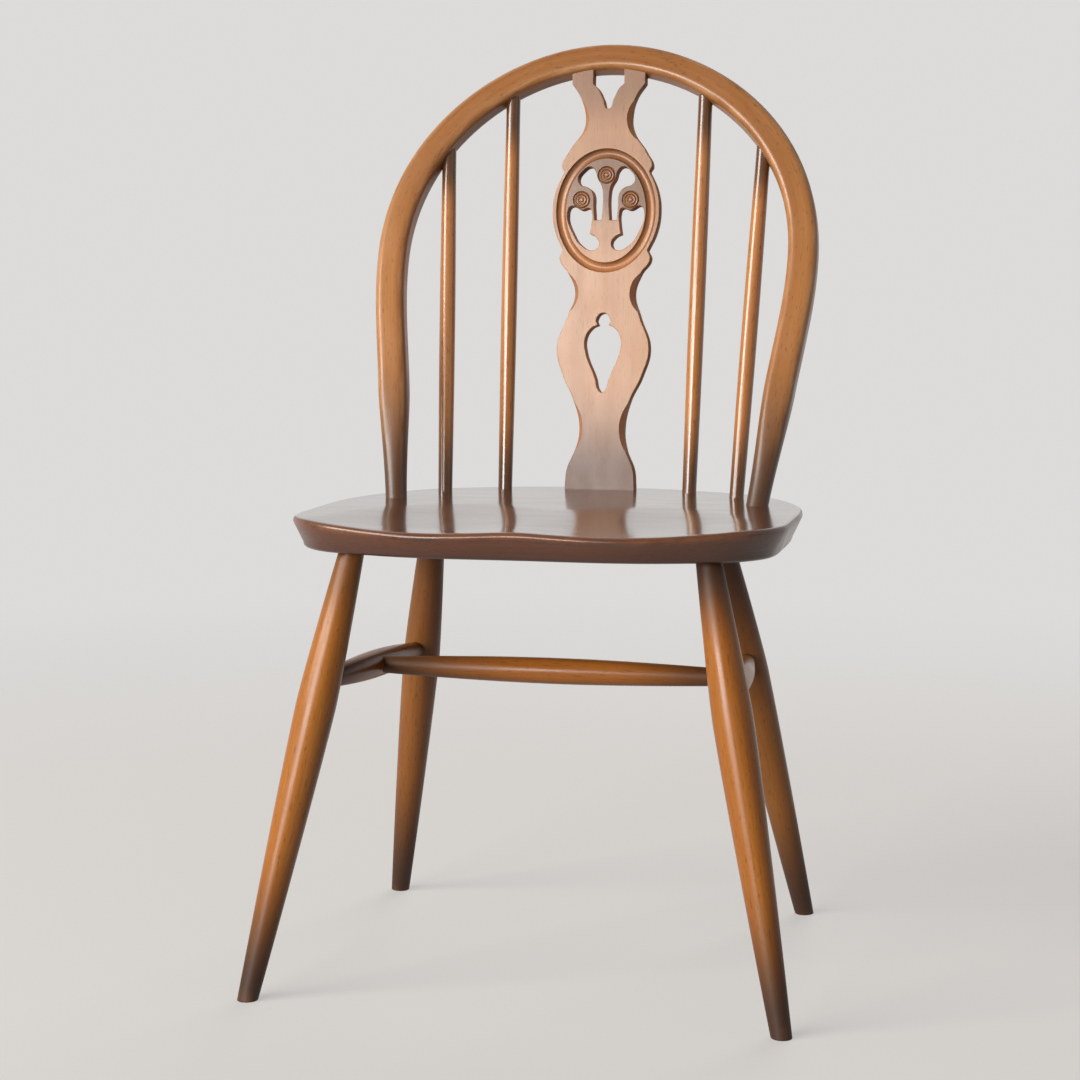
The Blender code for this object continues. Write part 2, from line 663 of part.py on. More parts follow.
def make_undercarriage(seat, material, wedge_material):
    """The four legs in the seat, a stretcher along each side and one across between those."""
    floor = box("floor", (TRIM_SIZE, TRIM_SIZE, TRIM_SIZE), cutters)
    floor.location.z = -TRIM_SIZE / 2
    hole = STRETCHER_END_RADIUS + GLUE_GAP
    in_leg = LEG_SWELL_RADIUS + STRETCHER_SHOULDER
    in_stretcher = SIDE_STRETCHER_RADIUS + STRETCHER_SHOULDER
    across = (cross_stretcher_end(1) - cross_stretcher_end(-1)).normalized()
    for side, word in SIDES:
        front, rear = side_stretcher_axis(side)
        stretcher = make_stretcher(
            "side_stretcher_" + word, front, rear, in_leg, SIDE_STRETCHER_RADIUS, material
        )
        joint = cross_stretcher_end(side)
        inwards = -side * across
        drill(stretcher, joint + inwards * 2 * in_stretcher, joint - inwards * GLUE_GAP, hole)
        run = (rear - front).normalized()
        for place, axis, joint, inwards in (
            ("front", front_leg_axis(side), front, run),
            ("rear", rear_leg_axis(side), rear, -run),
        ):
            leg = make_leg(f"{place}_leg_{word}", axis, floor, material, wedge_material)
            drill(leg, joint + inwards * 2 * in_leg, joint - inwards * GLUE_GAP, hole)
            foot, top = axis
            up = (top - foot).normalized()
            end = top + up * (LEG_TENON + 2 * GLUE_GAP)
            drill(seat, top - up * LEG_TENON, end, LEG_TOP_RADIUS + GLUE_GAP)
    left, right = cross_stretcher_end(-1), cross_stretcher_end(1)
    make_stretcher("cross_stretcher", left, right, in_stretcher, CROSS_STRETCHER_RADIUS, material)


def make_sticks(seat, bow, material):
    """Two pairs of sticks, each blind in the seat below and in the bow above."""
    hole = STICK_END_RADIUS + GLUE_GAP
    for kind, foot_x, foot_y, top_x in (
        ("outer", OUTER_STICK_X, OUTER_STICK_Y, OUTER_STICK_TOP_X),
        ("inner", INNER_STICK_X, INNER_STICK_Y, INNER_STICK_TOP_X),
    ):
        for side, word in SIDES:
            foot, top = stick_axis(side, foot_x, foot_y, top_x)
            up = (top - foot).normalized()
            start = foot - up * STICK_TENON
            length = (top - start).length
            in_seat = STICK_TENON + STICK_SHOULDER
            profile = swelling(length, in_seat, STICK_TOP_STRAIGHT, STICK_END_RADIUS, STICK_RADIUS)
            turned(f"{kind}_stick_{word}", profile, start, top, ROD_SIDES, parts, material)
            drill(seat, foot + up * STICK_TENON, start - up * GLUE_GAP, hole)
            drill(bow, top - up * 2 * STICK_TOP_STRAIGHT, top + up * GLUE_GAP, hole)


def seat_splat(seat, bow):
    """The mortise in the seat for the splat's foot and those in the bow for its prongs."""
    foot_x = SPLAT_SIDE[0][0]
    cut(seat, board_slot("seat_mortise", -foot_x, foot_x, -SPLAT_FOOT_TENON, CUT_MARGIN))
    inner_x, outer_x = prong_sides()
    low = splat_height() - BOW_WIDTH
    high = splat_height() + SPLAT_PRONG_TENON
    cut(bow, board_slot("bow_mortise_right", inner_x, outer_x, low, high))
    cut(bow, board_slot("bow_mortise_left", -outer_x, -inner_x, low, high))


def seat_bow(seat, bow, wedge_material):
    """The sockets for the bow's feet, right through the seat, and the wedges driven from below."""
    cut(seat, bow_sweep("bow_socket", GLUE_GAP, cutters))
    under_seat = box("under_seat", (TRIM_SIZE, TRIM_SIZE, TRIM_SIZE), cutters)
    under_seat.location.z = SEAT_HEIGHT - SEAT_THICKNESS - TRIM_SIZE / 2
    cut(bow, under_seat)
    upwards = bow_knots()["upwards"]
    width = BOW_FOOT_SCALE * BOW_DEPTH - 4 * GLUE_GAP
    length = BOW_WEDGE_LENGTH + BOW_FOOT_SPARE
    for side, word in SIDES:
        deck = bow_place() @ Vector((side * BOW_FOOT_X, 0.0, 0.0))
        above = bow_place() @ Vector((side * (BOW_FOOT_X + upwards.x), upwards.y, 0.0))
        downwards = (deck - above).normalized()
        thick_end = deck + downwards * (through_seat() + BOW_FOOT_SPARE)
        place = along(thick_end, thick_end + downwards)
        piece = wedge("bow_wedge_" + word, width, length, 0.0, parts, wedge_material)
        piece.matrix_world = place
        cut(piece, under_seat)
        kerf = wedge("bow_kerf_" + word, width + BOW_DEPTH, length, GLUE_GAP, cutters)
        kerf.matrix_world = place
        cut(bow, kerf)


def build_chair():
    for old in list(bpy.data.objects):
        bpy.data.objects.remove(old)
    for collection in (parts, cutters):
        bpy.context.scene.collection.children.link(collection)

    seat_wood = wood("seat_wood", (0.115, 0.045, 0.022), 0.22)
    turned_wood = wood("turned_wood", (0.215, 0.085, 0.032), 0.30)
    bow_wood = wood("bow_wood", (0.235, 0.095, 0.036), 0.30)
    splat_wood = wood("splat_wood", (0.47, 0.27, 0.17), 0.38)
    wedge_wood = wood("wedge_wood", (0.40, 0.24, 0.13), 0.55)

    seat = make_seat(seat_wood)
    bow = bow_sweep("bow", 0.0, parts, bow_wood)
    make_splat(splat_wood)
    make_undercarriage(seat, turned_wood, wedge_wood)
    make_sticks(seat, bow, turned_wood)
    seat_splat(seat, bow)
    seat_bow(seat, bow, wedge_wood)


build_chair()
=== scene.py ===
# %% [markdown]
# # A bow-backed chair with a thistle splat
#
# The construction of this chair is already solved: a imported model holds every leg, stick and board at
# its real size. This lesson dresses that model. Each wooden piece is modelled again with a finer
# surface, in the same place, and gets a lacquered wood finish. Only the small wedges keep the shape
# that they have. Everything is in metres, Z is up and the chair faces -Y.

# %% Load the frame
import json
import math

import bpy
import numpy as np
from mathutils import Matrix, Vector


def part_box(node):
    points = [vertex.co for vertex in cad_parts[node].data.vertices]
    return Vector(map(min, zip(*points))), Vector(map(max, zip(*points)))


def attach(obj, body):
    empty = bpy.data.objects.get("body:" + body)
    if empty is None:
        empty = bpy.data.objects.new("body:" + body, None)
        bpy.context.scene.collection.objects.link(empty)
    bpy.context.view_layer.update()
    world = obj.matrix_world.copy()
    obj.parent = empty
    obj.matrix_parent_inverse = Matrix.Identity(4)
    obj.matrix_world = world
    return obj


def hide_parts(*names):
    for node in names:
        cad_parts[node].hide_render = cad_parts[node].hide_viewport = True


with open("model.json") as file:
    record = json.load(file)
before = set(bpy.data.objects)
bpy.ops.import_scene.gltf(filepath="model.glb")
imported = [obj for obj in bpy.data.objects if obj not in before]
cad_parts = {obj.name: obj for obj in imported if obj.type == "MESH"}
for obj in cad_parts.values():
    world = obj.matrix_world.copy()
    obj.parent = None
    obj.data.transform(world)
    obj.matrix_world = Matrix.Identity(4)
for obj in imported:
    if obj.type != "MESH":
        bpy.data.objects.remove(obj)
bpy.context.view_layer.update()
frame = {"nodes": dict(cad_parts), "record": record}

# %% [markdown]
# ## Looking at the chair
#
# A camera is a point, a direction and a focal length. These were found by matching the chair's four
# feet and its symmetry to the picture, so the render lines up with it. A long lens from over two
# metres away keeps the legs from spreading.

# %% Camera
CAMERA_PLACE = Vector((0.4855, -2.2343, 0.664))
CAMERA_YAW = -0.2239
CAMERA_PITCH = -0.1153
CAMERA_LENS = 80.2


def new_object(name, data):
    """An object with this data, put into the scene."""
    thing = bpy.data.objects.new(name, data)
    bpy.context.scene.collection.objects.link(thing)
    return thing


camera_data = bpy.data.cameras.new("camera")
camera_data.lens = CAMERA_LENS
camera = new_object("camera", camera_data)
gaze = Vector((
    math.sin(CAMERA_YAW) * math.cos(CAMERA_PITCH),
    math.cos(CAMERA_YAW) * math.cos(CAMERA_PITCH),
    math.sin(CAMERA_PITCH),
))
camera.location = CAMERA_PLACE
camera.rotation_mode = "QUATERNION"
camera.rotation_quaternion = gaze.to_track_quat("-Z", "Y")
bpy.context.scene.camera = camera
print("camera looks along", [round(part, 3) for part in gaze])

# %% [markdown]
# ## Short words for nodes
#
# The world, the floor and every finish are nets of nodes. They could be wired one node at a time, but
# a net is easier to read as a formula. So these helpers add a node and return its output, and an input
# can be another output or a plain value.


# %% Node helpers
def feed(tree, node, values):
    """Set a node's inputs: link another node's output, or give a number, a colour or a vector."""
    for name, value in values.items():
        socket = node.inputs[name]
        if isinstance(value, bpy.types.NodeSocket):
            tree.links.new(value, socket)
        elif socket.type == "RGBA":
            socket.default_value = (*value, 1.0)
        else:
            socket.default_value = value


def add(tree, kind, values=None, **settings):
    """A new node with its settings and its inputs."""
    node = tree.nodes.new("ShaderNode" + kind)
    for name, setting in settings.items():
        setattr(node, name, setting)
    feed(tree, node, values or {})
    return node


def between(tree, value, low, high, out_low=0.0, out_high=1.0):
    """A value stretched from one range to another, smoothly and clamped."""
    ranges = {"From Min": low, "From Max": high, "To Min": out_low, "To Max": out_high}
    node = add(tree, "MapRange", {"Value": value, **ranges}, interpolation_type="SMOOTHSTEP")
    return node.outputs["Result"]


def mixed(tree, factor, first, second):
    """Two colours mixed by a factor."""
    node = add(tree, "Mix", data_type="RGBA")
    order = [socket.identifier for socket in node.inputs]
    for name, value in (("Factor_Float", factor), ("A_Color", first), ("B_Color", second)):
        feed(tree, node, {order.index(name): value})
    return next(socket for socket in node.outputs if socket.identifier == "Result_Color")


def calculated(tree, operation, first, second):
    """A sum, product or other calculation with two values."""
    return add(tree, "Math", {0: first, 1: second}, operation=operation).outputs[0]


def blended(tree, factor, first, second):
    """Two shaders mixed by a factor."""
    return add(tree, "MixShader", {0: factor, 1: first, 2: second}).outputs[0]


# %% [markdown]
# ## A pale studio
#
# Lacquer is mostly what it reflects, so the room matters as much as the lamps. Wherever a camera or a
# mirror ray meets the world, it is a pale wall, and mirror rays find the camera's side of the room
# darker. For everything else it is a weaker fill.

# %% World
WALL_COLOUR = (0.72, 0.71, 0.70)
ROOM_COLOUR = (0.30, 0.29, 0.28)
FILL_COLOUR = (0.88, 0.82, 0.75)
FILL_STRENGTH = 0.12
# How far a direction points forwards or backwards before it finds only the room or only the wall
ROOM_BLEND = 0.6

bpy.context.scene.view_settings.view_transform = "Standard"
world = bpy.data.worlds.new("studio")
bpy.context.scene.world = world
world.use_nodes = True
tree = world.node_tree
tree.nodes.clear()
axes = add(tree, "SeparateXYZ", {0: add(tree, "TexCoord").outputs["Generated"]}).outputs
backwards = between(tree, axes["Y"], -ROOM_BLEND, ROOM_BLEND)
ray = add(tree, "LightPath").outputs
seen = calculated(tree, "MAXIMUM", ray["Is Camera Ray"], ray["Is Glossy Ray"])
wall_share = calculated(tree, "MAXIMUM", ray["Is Camera Ray"], backwards)
wall = mixed(tree, wall_share, ROOM_COLOUR, WALL_COLOUR)
wall_light = add(tree, "Background", {"Color": wall}).outputs[0]
fill_light = add(tree, "Background", {"Color": FILL_COLOUR, "Strength": FILL_STRENGTH}).outputs[0]
add(tree, "OutputWorld", {"Surface": blended(tree, seen, fill_light, wall_light)})
print("a pale world of", len(tree.nodes), "nodes")

# %% [markdown]
# The main lamp is as large as a window. It stands far behind the camera and to its left, lays a veil of
# light on the flat splat and draws the bright lines on the turned pieces. A nearer one, further left
# and higher, shapes the round pieces. A weak one fills the right. One behind the chair keeps its back
# from going black, and gives no highlights, because they would edge every piece with a bright rim.

# %% Lamps
CHAIR_MIDDLE = Vector((0.0, 0.0, 0.5))
DAYLIGHT = (1.0, 0.97, 0.94)


def soft_lamp(name, place, width, height, power, colour):
    """A rectangular lamp that faces the chair."""
    data = bpy.data.lights.new(name, "AREA")
    data.shape = "RECTANGLE"
    data.size = width
    data.size_y = height
    data.energy = power
    data.color = colour
    lamp = new_object(name, data)
    lamp.location = place
    lamp.rotation_mode = "QUATERNION"
    lamp.rotation_quaternion = (CHAIR_MIDDLE - Vector(place)).to_track_quat("-Z", "Y")
    lamp.visible_camera = False
    return lamp


soft_lamp("window", (-2.55, -5.98, 1.56), width=2.9, height=1.9, power=328.0, colour=DAYLIGHT)
soft_lamp("side", (-3.2, -2.53, 2.3), width=2.1, height=1.8, power=165.0, colour=(1.0, 0.95, 0.88))
soft_lamp("fill", (2.2, -0.6, 1.7), width=1.6, height=1.6, power=3.0, colour=(1.0, 0.93, 0.86))
back_lamp = soft_lamp("back", (0.5, 3.2, 2.4), width=2.2, height=1.2, power=60.0, colour=DAYLIGHT)
back_lamp.visible_glossy = False
print("lamps:", ", ".join(lamp.name for lamp in bpy.data.lights))

# %% [markdown]
# ## The floor
#
# The floor only has to carry the shadow. A large disc does, and it turns transparent towards its edge,
# so that no horizon line cuts across the chair. A pale floor would throw much light back under the
# seat, so the floor is pale only to the eye and to mirror rays, and a plain grey to all other light.
# Part of its paleness is a glow, which nothing can shade, so the shadow stays light.

# %% Floor
FLOOR_RADIUS = 2.6
FLOOR_SIDES = 96
FLOOR_FADE_START = 0.7
FLOOR_COLOUR = (0.28, 0.27, 0.26)
FLOOR_BOUNCE = (0.18, 0.165, 0.15)
FLOOR_ROUGHNESS = 0.75
FLOOR_GLOW = 0.40
FLOOR_GLOW_COLOUR = (1.0, 0.985, 0.97)


def new_finish(name):
    """A new material, its net of nodes and its shader."""
    material = bpy.data.materials.new(name)
    material.use_nodes = True
    return material, material.node_tree, material.node_tree.nodes["Principled BSDF"]


bpy.ops.object.select_all(action="DESELECT")
bpy.ops.mesh.primitive_circle_add(vertices=FLOOR_SIDES, radius=FLOOR_RADIUS, fill_type="NGON")
floor = bpy.context.object
floor.name = "floor"
floor_finish, tree, shader = new_finish("floor")
ray = add(tree, "LightPath").outputs
seen = calculated(tree, "MAXIMUM", ray["Is Camera Ray"], ray["Is Glossy Ray"])
feed(tree, shader, {
    "Base Color": mixed(tree, seen, FLOOR_BOUNCE, FLOOR_COLOUR),
    "Roughness": FLOOR_ROUGHNESS,
    "Emission Strength": calculated(tree, "MULTIPLY", seen, FLOOR_GLOW),
    "Emission Color": FLOOR_GLOW_COLOUR,
})
floor_finish.cycles.emission_sampling = "NONE"
place = add(tree, "TexCoord").outputs["Object"]
distance = add(tree, "VectorMath", {0: place}, operation="LENGTH").outputs["Value"]
fade = between(tree, distance, FLOOR_FADE_START, FLOOR_RADIUS)
clear = add(tree, "BsdfTransparent").outputs[0]
feed(tree, tree.nodes["Material Output"], {"Surface": blended(tree, fade, shader.outputs[0], clear)})
floor.data.materials.append(floor_finish)
print("floor of", 2 * FLOOR_RADIUS, "m, fading out from", FLOOR_FADE_START, "m")

# %% [markdown]
# ## Wood that follows its piece
#
# A tree's fibres run along a leg, and they bend with the bow when it is steamed. A pattern on the
# object's own axes can't do that. So each piece carries attributes on its points: `grain`, its place in
# the timber with Z along the fibres, one for how much dark toner was sprayed there and, on the legs and
# in the cove, how much shade is painted there, and on some `wear`, how much of it is rubbed away. One
# recipe then gives every lacquered finish. In it, slow streaks and fine fibres mix a pale and a deep
# wood, pores fleck it, and toner and painted shade lie over both and dull the gloss.

# %% Wood recipe
# Each pattern's spots per metre, twice across the fibres and once along them, its detail and roughness
FIBRES = ((620.0, 620.0, 14.0), 3.0, 0.6)
PORES = ((700.0, 700.0, 110.0), 2.0, 0.5)
PATCHES = ((95.0, 95.0, 22.0), 4.0, 0.6)
FILM = ((55.0, 55.0, 18.0), 3.0, 0.5)
STREAK_STRETCH = 0.06
THREAD_STRENGTH = 0.38
FILM_LEAST = 0.85
FILM_MOST = 1.2
COAT_ROUGHNESS = 0.6
FIBRE_HEIGHT = 0.0004


def noise(tree, vector, scale, detail, roughness, distortion=0.0):
    """A noise whose spots are stretched by a scale for each axis."""
    stretched = add(tree, "Mapping", {"Vector": vector, "Scale": scale}).outputs["Vector"]
    shape = {"Scale": 1.0, "Detail": detail, "Roughness": roughness, "Distortion": distortion}
    return add(tree, "TexNoise", {"Vector": stretched, **shape}).outputs["Fac"]


def attribute(tree, name):
    return add(tree, "Attribute", attribute_name=name).outputs


def toner_and_shade_from_attribute(tree):
    return attribute(tree, "tone")["Fac"]


def raise_fibres(tree, shader, fibres, strength):
    """Let the fibres stand up a little from the surface."""
    bump = add(tree, "Bump", {"Strength": strength, "Distance": FIBRE_HEIGHT, "Height": fibres})
    feed(tree, shader, {"Normal": bump.outputs["Normal"]})


def lacquered_wood(
    name, pale, deep, toner, gloss, coat, worn=None,
    figure=30.0, relief=0.06, flecks=0.42, shine=0.5, dulling=0.0, toner_and_shade_source=toner_and_shade_from_attribute,
):
    """Toned wood under clear lacquer: pale and deep wood, with toner and, on some pieces, painted shade
    over both, which can dull the gloss.
    """
    material, tree, shader = new_finish(name)
    timber = attribute(tree, "grain")["Vector"]
    streaks = noise(tree, timber, (figure, figure, STREAK_STRETCH * figure), 4.0, 0.55, distortion=0.6)
    fibres = noise(tree, timber, *FIBRES)
    colour = mixed(tree, between(tree, streaks, 0.32, 0.68), pale, deep)
    colour = mixed(tree, between(tree, fibres, 0.35, 0.70, 0.0, THREAD_STRENGTH), colour, deep)
    pores = noise(tree, timber, *PORES)
    colour = mixed(tree, between(tree, pores, 0.60, 0.70, 0.0, flecks), colour, toner)
    toner_and_shade_amount = toner_and_shade_source(tree)
    colour = mixed(tree, toner_and_shade_amount, colour, toner)
    if worn:
        patches = between(tree, noise(tree, timber, *PATCHES), 0.38, 0.62)
        rubbed = calculated(tree, "MULTIPLY", attribute(tree, "wear")["Fac"], patches)
        colour = mixed(tree, rubbed, colour, worn)
    film = between(tree, noise(tree, timber, *FILM), 0.3, 0.7, FILM_LEAST * gloss, FILM_MOST * gloss)
    feed(tree, shader, {
        "Base Color": colour,
        "Roughness": calculated(tree, "ADD", film, calculated(tree, "MULTIPLY", toner_and_shade_amount, dulling)),
        "Coat Weight": coat,
        "Coat Roughness": COAT_ROUGHNESS * gloss,
        "Specular IOR Level": shine,
    })
    raise_fibres(tree, shader, fibres, relief)
    return material


# %% [markdown]
# The turned pieces and the bow are honey brown, sprayed dark at every joint. The sticks are paler and
# have the sharpest gloss of these. The splat's carving is nearly the colour of the sticks, and its sawn
# walls are dull, with their colour painted lighter as painted light on faces turned from the lamps. The
# seat is a dark red brown with the deepest gloss on its top. Where toner, and on the legs painted shade,
# lies thick on a turned piece, the lacquer over it is dull.

# %% Finishes
# The toner's colour, which also paints the shade on the legs and in the cove
TONER_AND_SHADE_COLOUR = (0.036, 0.0155, 0.009)
turned_finish = lacquered_wood(
    "turned_finish", (0.405, 0.153, 0.028), (0.26, 0.078, 0.011), TONER_AND_SHADE_COLOUR,
    gloss=0.27, coat=0.0, worn=(0.48, 0.23, 0.08), shine=0.32, dulling=0.28,
)
stick_finish = lacquered_wood(
    "stick_finish", (0.50, 0.215, 0.070), (0.38, 0.147, 0.042), TONER_AND_SHADE_COLOUR,
    gloss=0.23, coat=0.45,
)
bow_finish = lacquered_wood(
    "bow_finish", (0.400, 0.172, 0.051), (0.290, 0.104, 0.027), TONER_AND_SHADE_COLOUR,
    gloss=0.33, coat=0.1, worn=(0.54, 0.28, 0.12), dulling=0.05,
)
carving_finish = lacquered_wood(
    "carving_finish", (0.43, 0.177, 0.058), (0.33, 0.124, 0.038), TONER_AND_SHADE_COLOUR,
    gloss=0.36, coat=0.15,
)
# The sawn walls' colour is painted lighter, as painted light on faces that turn away from the lamps.
sawn_finish = lacquered_wood(
    "sawn_finish", (0.470, 0.240, 0.145), (0.350, 0.170, 0.100), TONER_AND_SHADE_COLOUR,
    gloss=0.60, coat=0.0, shine=0.05,
)
seat_finish = lacquered_wood(
    "seat_finish", (0.145, 0.050, 0.019), (0.080, 0.025, 0.009), (0.035, 0.013, 0.008),
    gloss=0.20, coat=1.0, worn=(0.33, 0.14, 0.055), figure=18.0, relief=0.03,
)
seat_edge_finish = lacquered_wood(
    "seat_edge_finish", (0.118, 0.038, 0.014), (0.075, 0.023, 0.009), (0.026, 0.010, 0.007),
    gloss=0.30, coat=0.2, worn=(0.33, 0.13, 0.050), figure=18.0, relief=0.03,
)
print("finishes:", ", ".join(m.name for m in bpy.data.materials if m.name.endswith("finish")))

# %% [markdown]
# ## Small helpers
#
# Operators act on whatever is selected, so each piece starts by deselecting everything. Faces and edges
# are chosen in code, by which way they face or where they are. A finished piece keeps its place in its
# mesh, with its object at the origin.


# %% Selecting
def stop_editing():
    bpy.ops.object.mode_set(mode="OBJECT")


def start_clean():
    if bpy.context.object and bpy.context.object.mode != "OBJECT":
        stop_editing()
    bpy.ops.object.select_all(action="DESELECT")


def only(piece):
    """Select one piece and nothing else."""
    start_clean()
    piece.select_set(True)
    bpy.context.view_layer.objects.active = piece


def edit(piece, choice="DESELECT"):
    """Go into edit mode on one piece, with nothing chosen or, on SELECT, all of it."""
    only(piece)
    bpy.ops.object.mode_set(mode="EDIT")
    bpy.ops.mesh.select_all(action=choice)


def choose(piece, parts, test):
    """Edit a piece with only those of its polygons or edges chosen that pass the test."""
    edit(piece)
    bpy.ops.mesh.select_mode(type="EDGE" if parts == "edges" else "FACE")
    stop_editing()
    for part in getattr(piece.data, parts):
        part.select = test(part)
    bpy.ops.object.mode_set(mode="EDIT")


def saw_off(piece, height):
    """Saw a piece off level and keep what is above."""
    edit(piece, "SELECT")
    bpy.ops.mesh.bisect(plane_co=(0, 0, height), plane_no=(0, 0, 1), use_fill=True, clear_inner=True)
    stop_editing()


# %% Points and their attributes
def points_of(piece):
    """A mesh's points as rows of an array."""
    table = np.empty(3 * len(piece.data.vertices))
    piece.data.vertices.foreach_get("co", table)
    return table.reshape(-1, 3)


def move_points(piece, table):
    piece.data.vertices.foreach_set("co", table.ravel())
    piece.data.update()


def paint(piece, name, values):
    """Keep an attribute on the points: one number each, or three for a place in the timber."""
    kind = "FLOAT_VECTOR" if np.ndim(values) == 2 else "FLOAT"
    layer = piece.data.attributes.new(name, kind, "POINT")
    layer.data.foreach_set("vector" if kind == "FLOAT_VECTOR" else "value", np.ravel(values))


def ease(values, low, high):
    """A smooth step from 0 at low to 1 at high, which may be the lower number."""
    share = np.clip((values - low) / (high - low), 0.0, 1.0)
    return share * share * (3.0 - 2.0 * share)


# %% Copying, placing and handing over
FLAT_ENOUGH = 0.9999


def copy_of(piece):
    """A second piece of the same shape, with its own mesh."""
    only(piece)
    bpy.ops.object.duplicate(linked=False)
    return bpy.context.object


def along(start, end):
    """The matrix that lays local Z on the line from start to end."""
    return Matrix.Translation(start) @ (end - start).to_track_quat("Z", "Y").to_matrix().to_4x4()


def set_in_place(piece, matrix):
    """Put a piece where the matrix says and leave its object at the origin."""
    only(piece)
    piece.matrix_world = matrix @ piece.matrix_world
    bpy.ops.object.transform_apply(location=True, rotation=True, scale=True)


def hand_over(piece, node, finish=None, angle=35.0, flat=None):
    """Shade, finish and name a piece, and let it stand for its node in the frame."""
    only(piece)
    bpy.ops.object.shade_smooth_by_angle(angle=math.radians(angle))
    if flat:
        choose(piece, "polygons", lambda face: abs(face.normal.dot(flat)) > FLAT_ENOUGH)
        bpy.ops.mesh.faces_shade_flat()
        stop_editing()
    if finish:
        piece.data.materials.append(finish)
    piece.name = "finished_" + node
    piece.data.name = piece.name
    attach(piece, "root")
    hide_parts(node)
    print(piece.name, len(piece.data.polygons), "faces")


# %% [markdown]
# ## Turning
#
# Legs, stretchers and sticks come off a lathe. A lathe tool follows a profile, and so does this: a
# disc is extruded a little way along Z and resized, again and again. The profile is a list of
# distances along the axis with a radius at each. Where the finished piece lies is read off its node in
# the frame, whose longest direction is its axis.

# %% Lathe
TURNED_SIDES = 56
# How far apart the figures of two pieces lie in the timber
TIMBER_STEP = np.array([0.37, 0.61, 0.83])
END_BAND = 0.001


def next_ring(rise, ratio, centre=(0.0, 0.0, 0.0)):
    """Extrude the chosen face along Z and resize it."""
    bpy.ops.mesh.extrude_region_move(TRANSFORM_OT_translate={"value": (0.0, 0.0, rise)})
    bpy.ops.transform.resize(value=(ratio, ratio, 1.0), center_override=centre)


def turn_on_lathe(profile):
    """A turned piece along Z from distances and radii."""
    start_clean()
    distance, radius = profile[0]
    bpy.ops.mesh.primitive_circle_add(
        vertices=TURNED_SIDES, radius=radius, fill_type="NGON", location=(0.0, 0.0, distance)
    )
    piece = bpy.context.object
    bpy.ops.object.transform_apply(location=True, rotation=False, scale=False)
    edit(piece, "SELECT")
    for next_distance, next_radius in profile[1:]:
        next_ring(next_distance - distance, next_radius / radius)
        distance, radius = next_distance, next_radius
    stop_editing()
    return piece


def season(piece, number):
    """Give a piece its own place in the timber, so that no two have the same figure."""
    paint(piece, "grain", points_of(piece) + TIMBER_STEP * number)


def axis_of(node):
    """The two ends of a rod's axis, first the lower one, or on level rods the front or left one."""
    places = np.array([point.co for point in frame["nodes"][node].data.vertices])
    places = np.unique(np.round(places, 5), axis=0)
    middle = (places.min(axis=0) + places.max(axis=0)) / 2
    spread = np.linalg.svd(places - middle)[2][0]
    reach = (places - middle) @ spread
    ends = [places[reach < reach.min() + END_BAND].mean(axis=0)]
    ends.append(places[reach > reach.max() - END_BAND].mean(axis=0))
    ends.sort(key=lambda end: end[2] if abs(spread[2]) > 0.5 else end[0] + end[1])
    return [Vector(end) for end in ends]


# %% [markdown]
# ## The legs
#
# The legs are slim at the seat, fullest about two thirds of the way up, and slim again at the foot. A
# left leg is turned and copied for the right. They lean outwards, so each is turned a little too long
# and then sawn level with the floor. Toner darkens the foot and the top, where the leg meets the seat.
# Painted shade stands in for the seat's shadow: it darkens the tops of the right and rear legs further,
# reaches further down the rear ones, and lies all over the rear legs.

# %% Leg shape
SEAT_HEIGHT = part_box("seat")[1].z
SEAT_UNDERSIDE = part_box("seat")[0].z
LEG_TOP_RADIUS = 0.0115
LEG_SWELL_RADIUS = 0.0183
LEG_FOOT_RADIUS = 0.0093
LEG_SWELL_SHARE = 0.658
LEG_TAPER_POWER = 1.28
LEG_SPARE = 0.006
LEG_STEPS = 40
SOLE_ROUND = 0.0008
FLOOR_TOUCH = 0.00001


def leg_radius(share):
    """The radius at a share of the way from floor to seat."""
    off = share - LEG_SWELL_SHARE
    end_radius = LEG_TOP_RADIUS if off > 0.0 else LEG_FOOT_RADIUS
    off /= 1.0 - LEG_SWELL_SHARE if off > 0.0 else -LEG_SWELL_SHARE
    return end_radius + (LEG_SWELL_RADIUS - end_radius) * (1.0 - off ** LEG_TAPER_POWER)


def turn_leg(foot, top):
    """A leg along Z, a little too long at the foot."""
    length = (top - foot).length
    to_seat = length * SEAT_UNDERSIDE / top.z
    profile = [(-LEG_SPARE, LEG_FOOT_RADIUS)]
    for i in range(LEG_STEPS + 1):
        profile.append((to_seat * i / LEG_STEPS, leg_radius(i / LEG_STEPS)))
    profile.append((length, LEG_TOP_RADIUS))
    return turn_on_lathe(profile)


def saw_level(leg):
    """Saw a leaning leg off at the floor and ease the edge of its sole."""
    saw_off(leg, 0.0)
    points = leg.data.vertices
    choose(leg, "edges", lambda edge: all(points[i].co.z < FLOOR_TOUCH for i in edge.vertices))
    bpy.ops.mesh.bevel(offset=SOLE_ROUND, segments=3)
    stop_editing()


# %% Legs
FOOT_TONER = 0.97
FOOT_TONER_FULL = 0.015
SOLE_WEAR = 0.15
SOLE_WEAR_HEIGHT = 0.012
# Painted shade all over, toner and the seat's painted shadow at the top, how far these reach down from the
# seat, and how far the foot's toner reaches up from the floor
LEG_TONER_AND_SEAT_SHADE = {
    "front_leg_left": (0.0, 0.5, 0.07, 0.15),
    "front_leg_right": (0.0, 0.9, 0.07, 0.15),
    "rear_leg_left": (0.34, 0.62, 0.36, 0.21),
    "rear_leg_right": (0.34, 0.9, 0.20, 0.21),
}


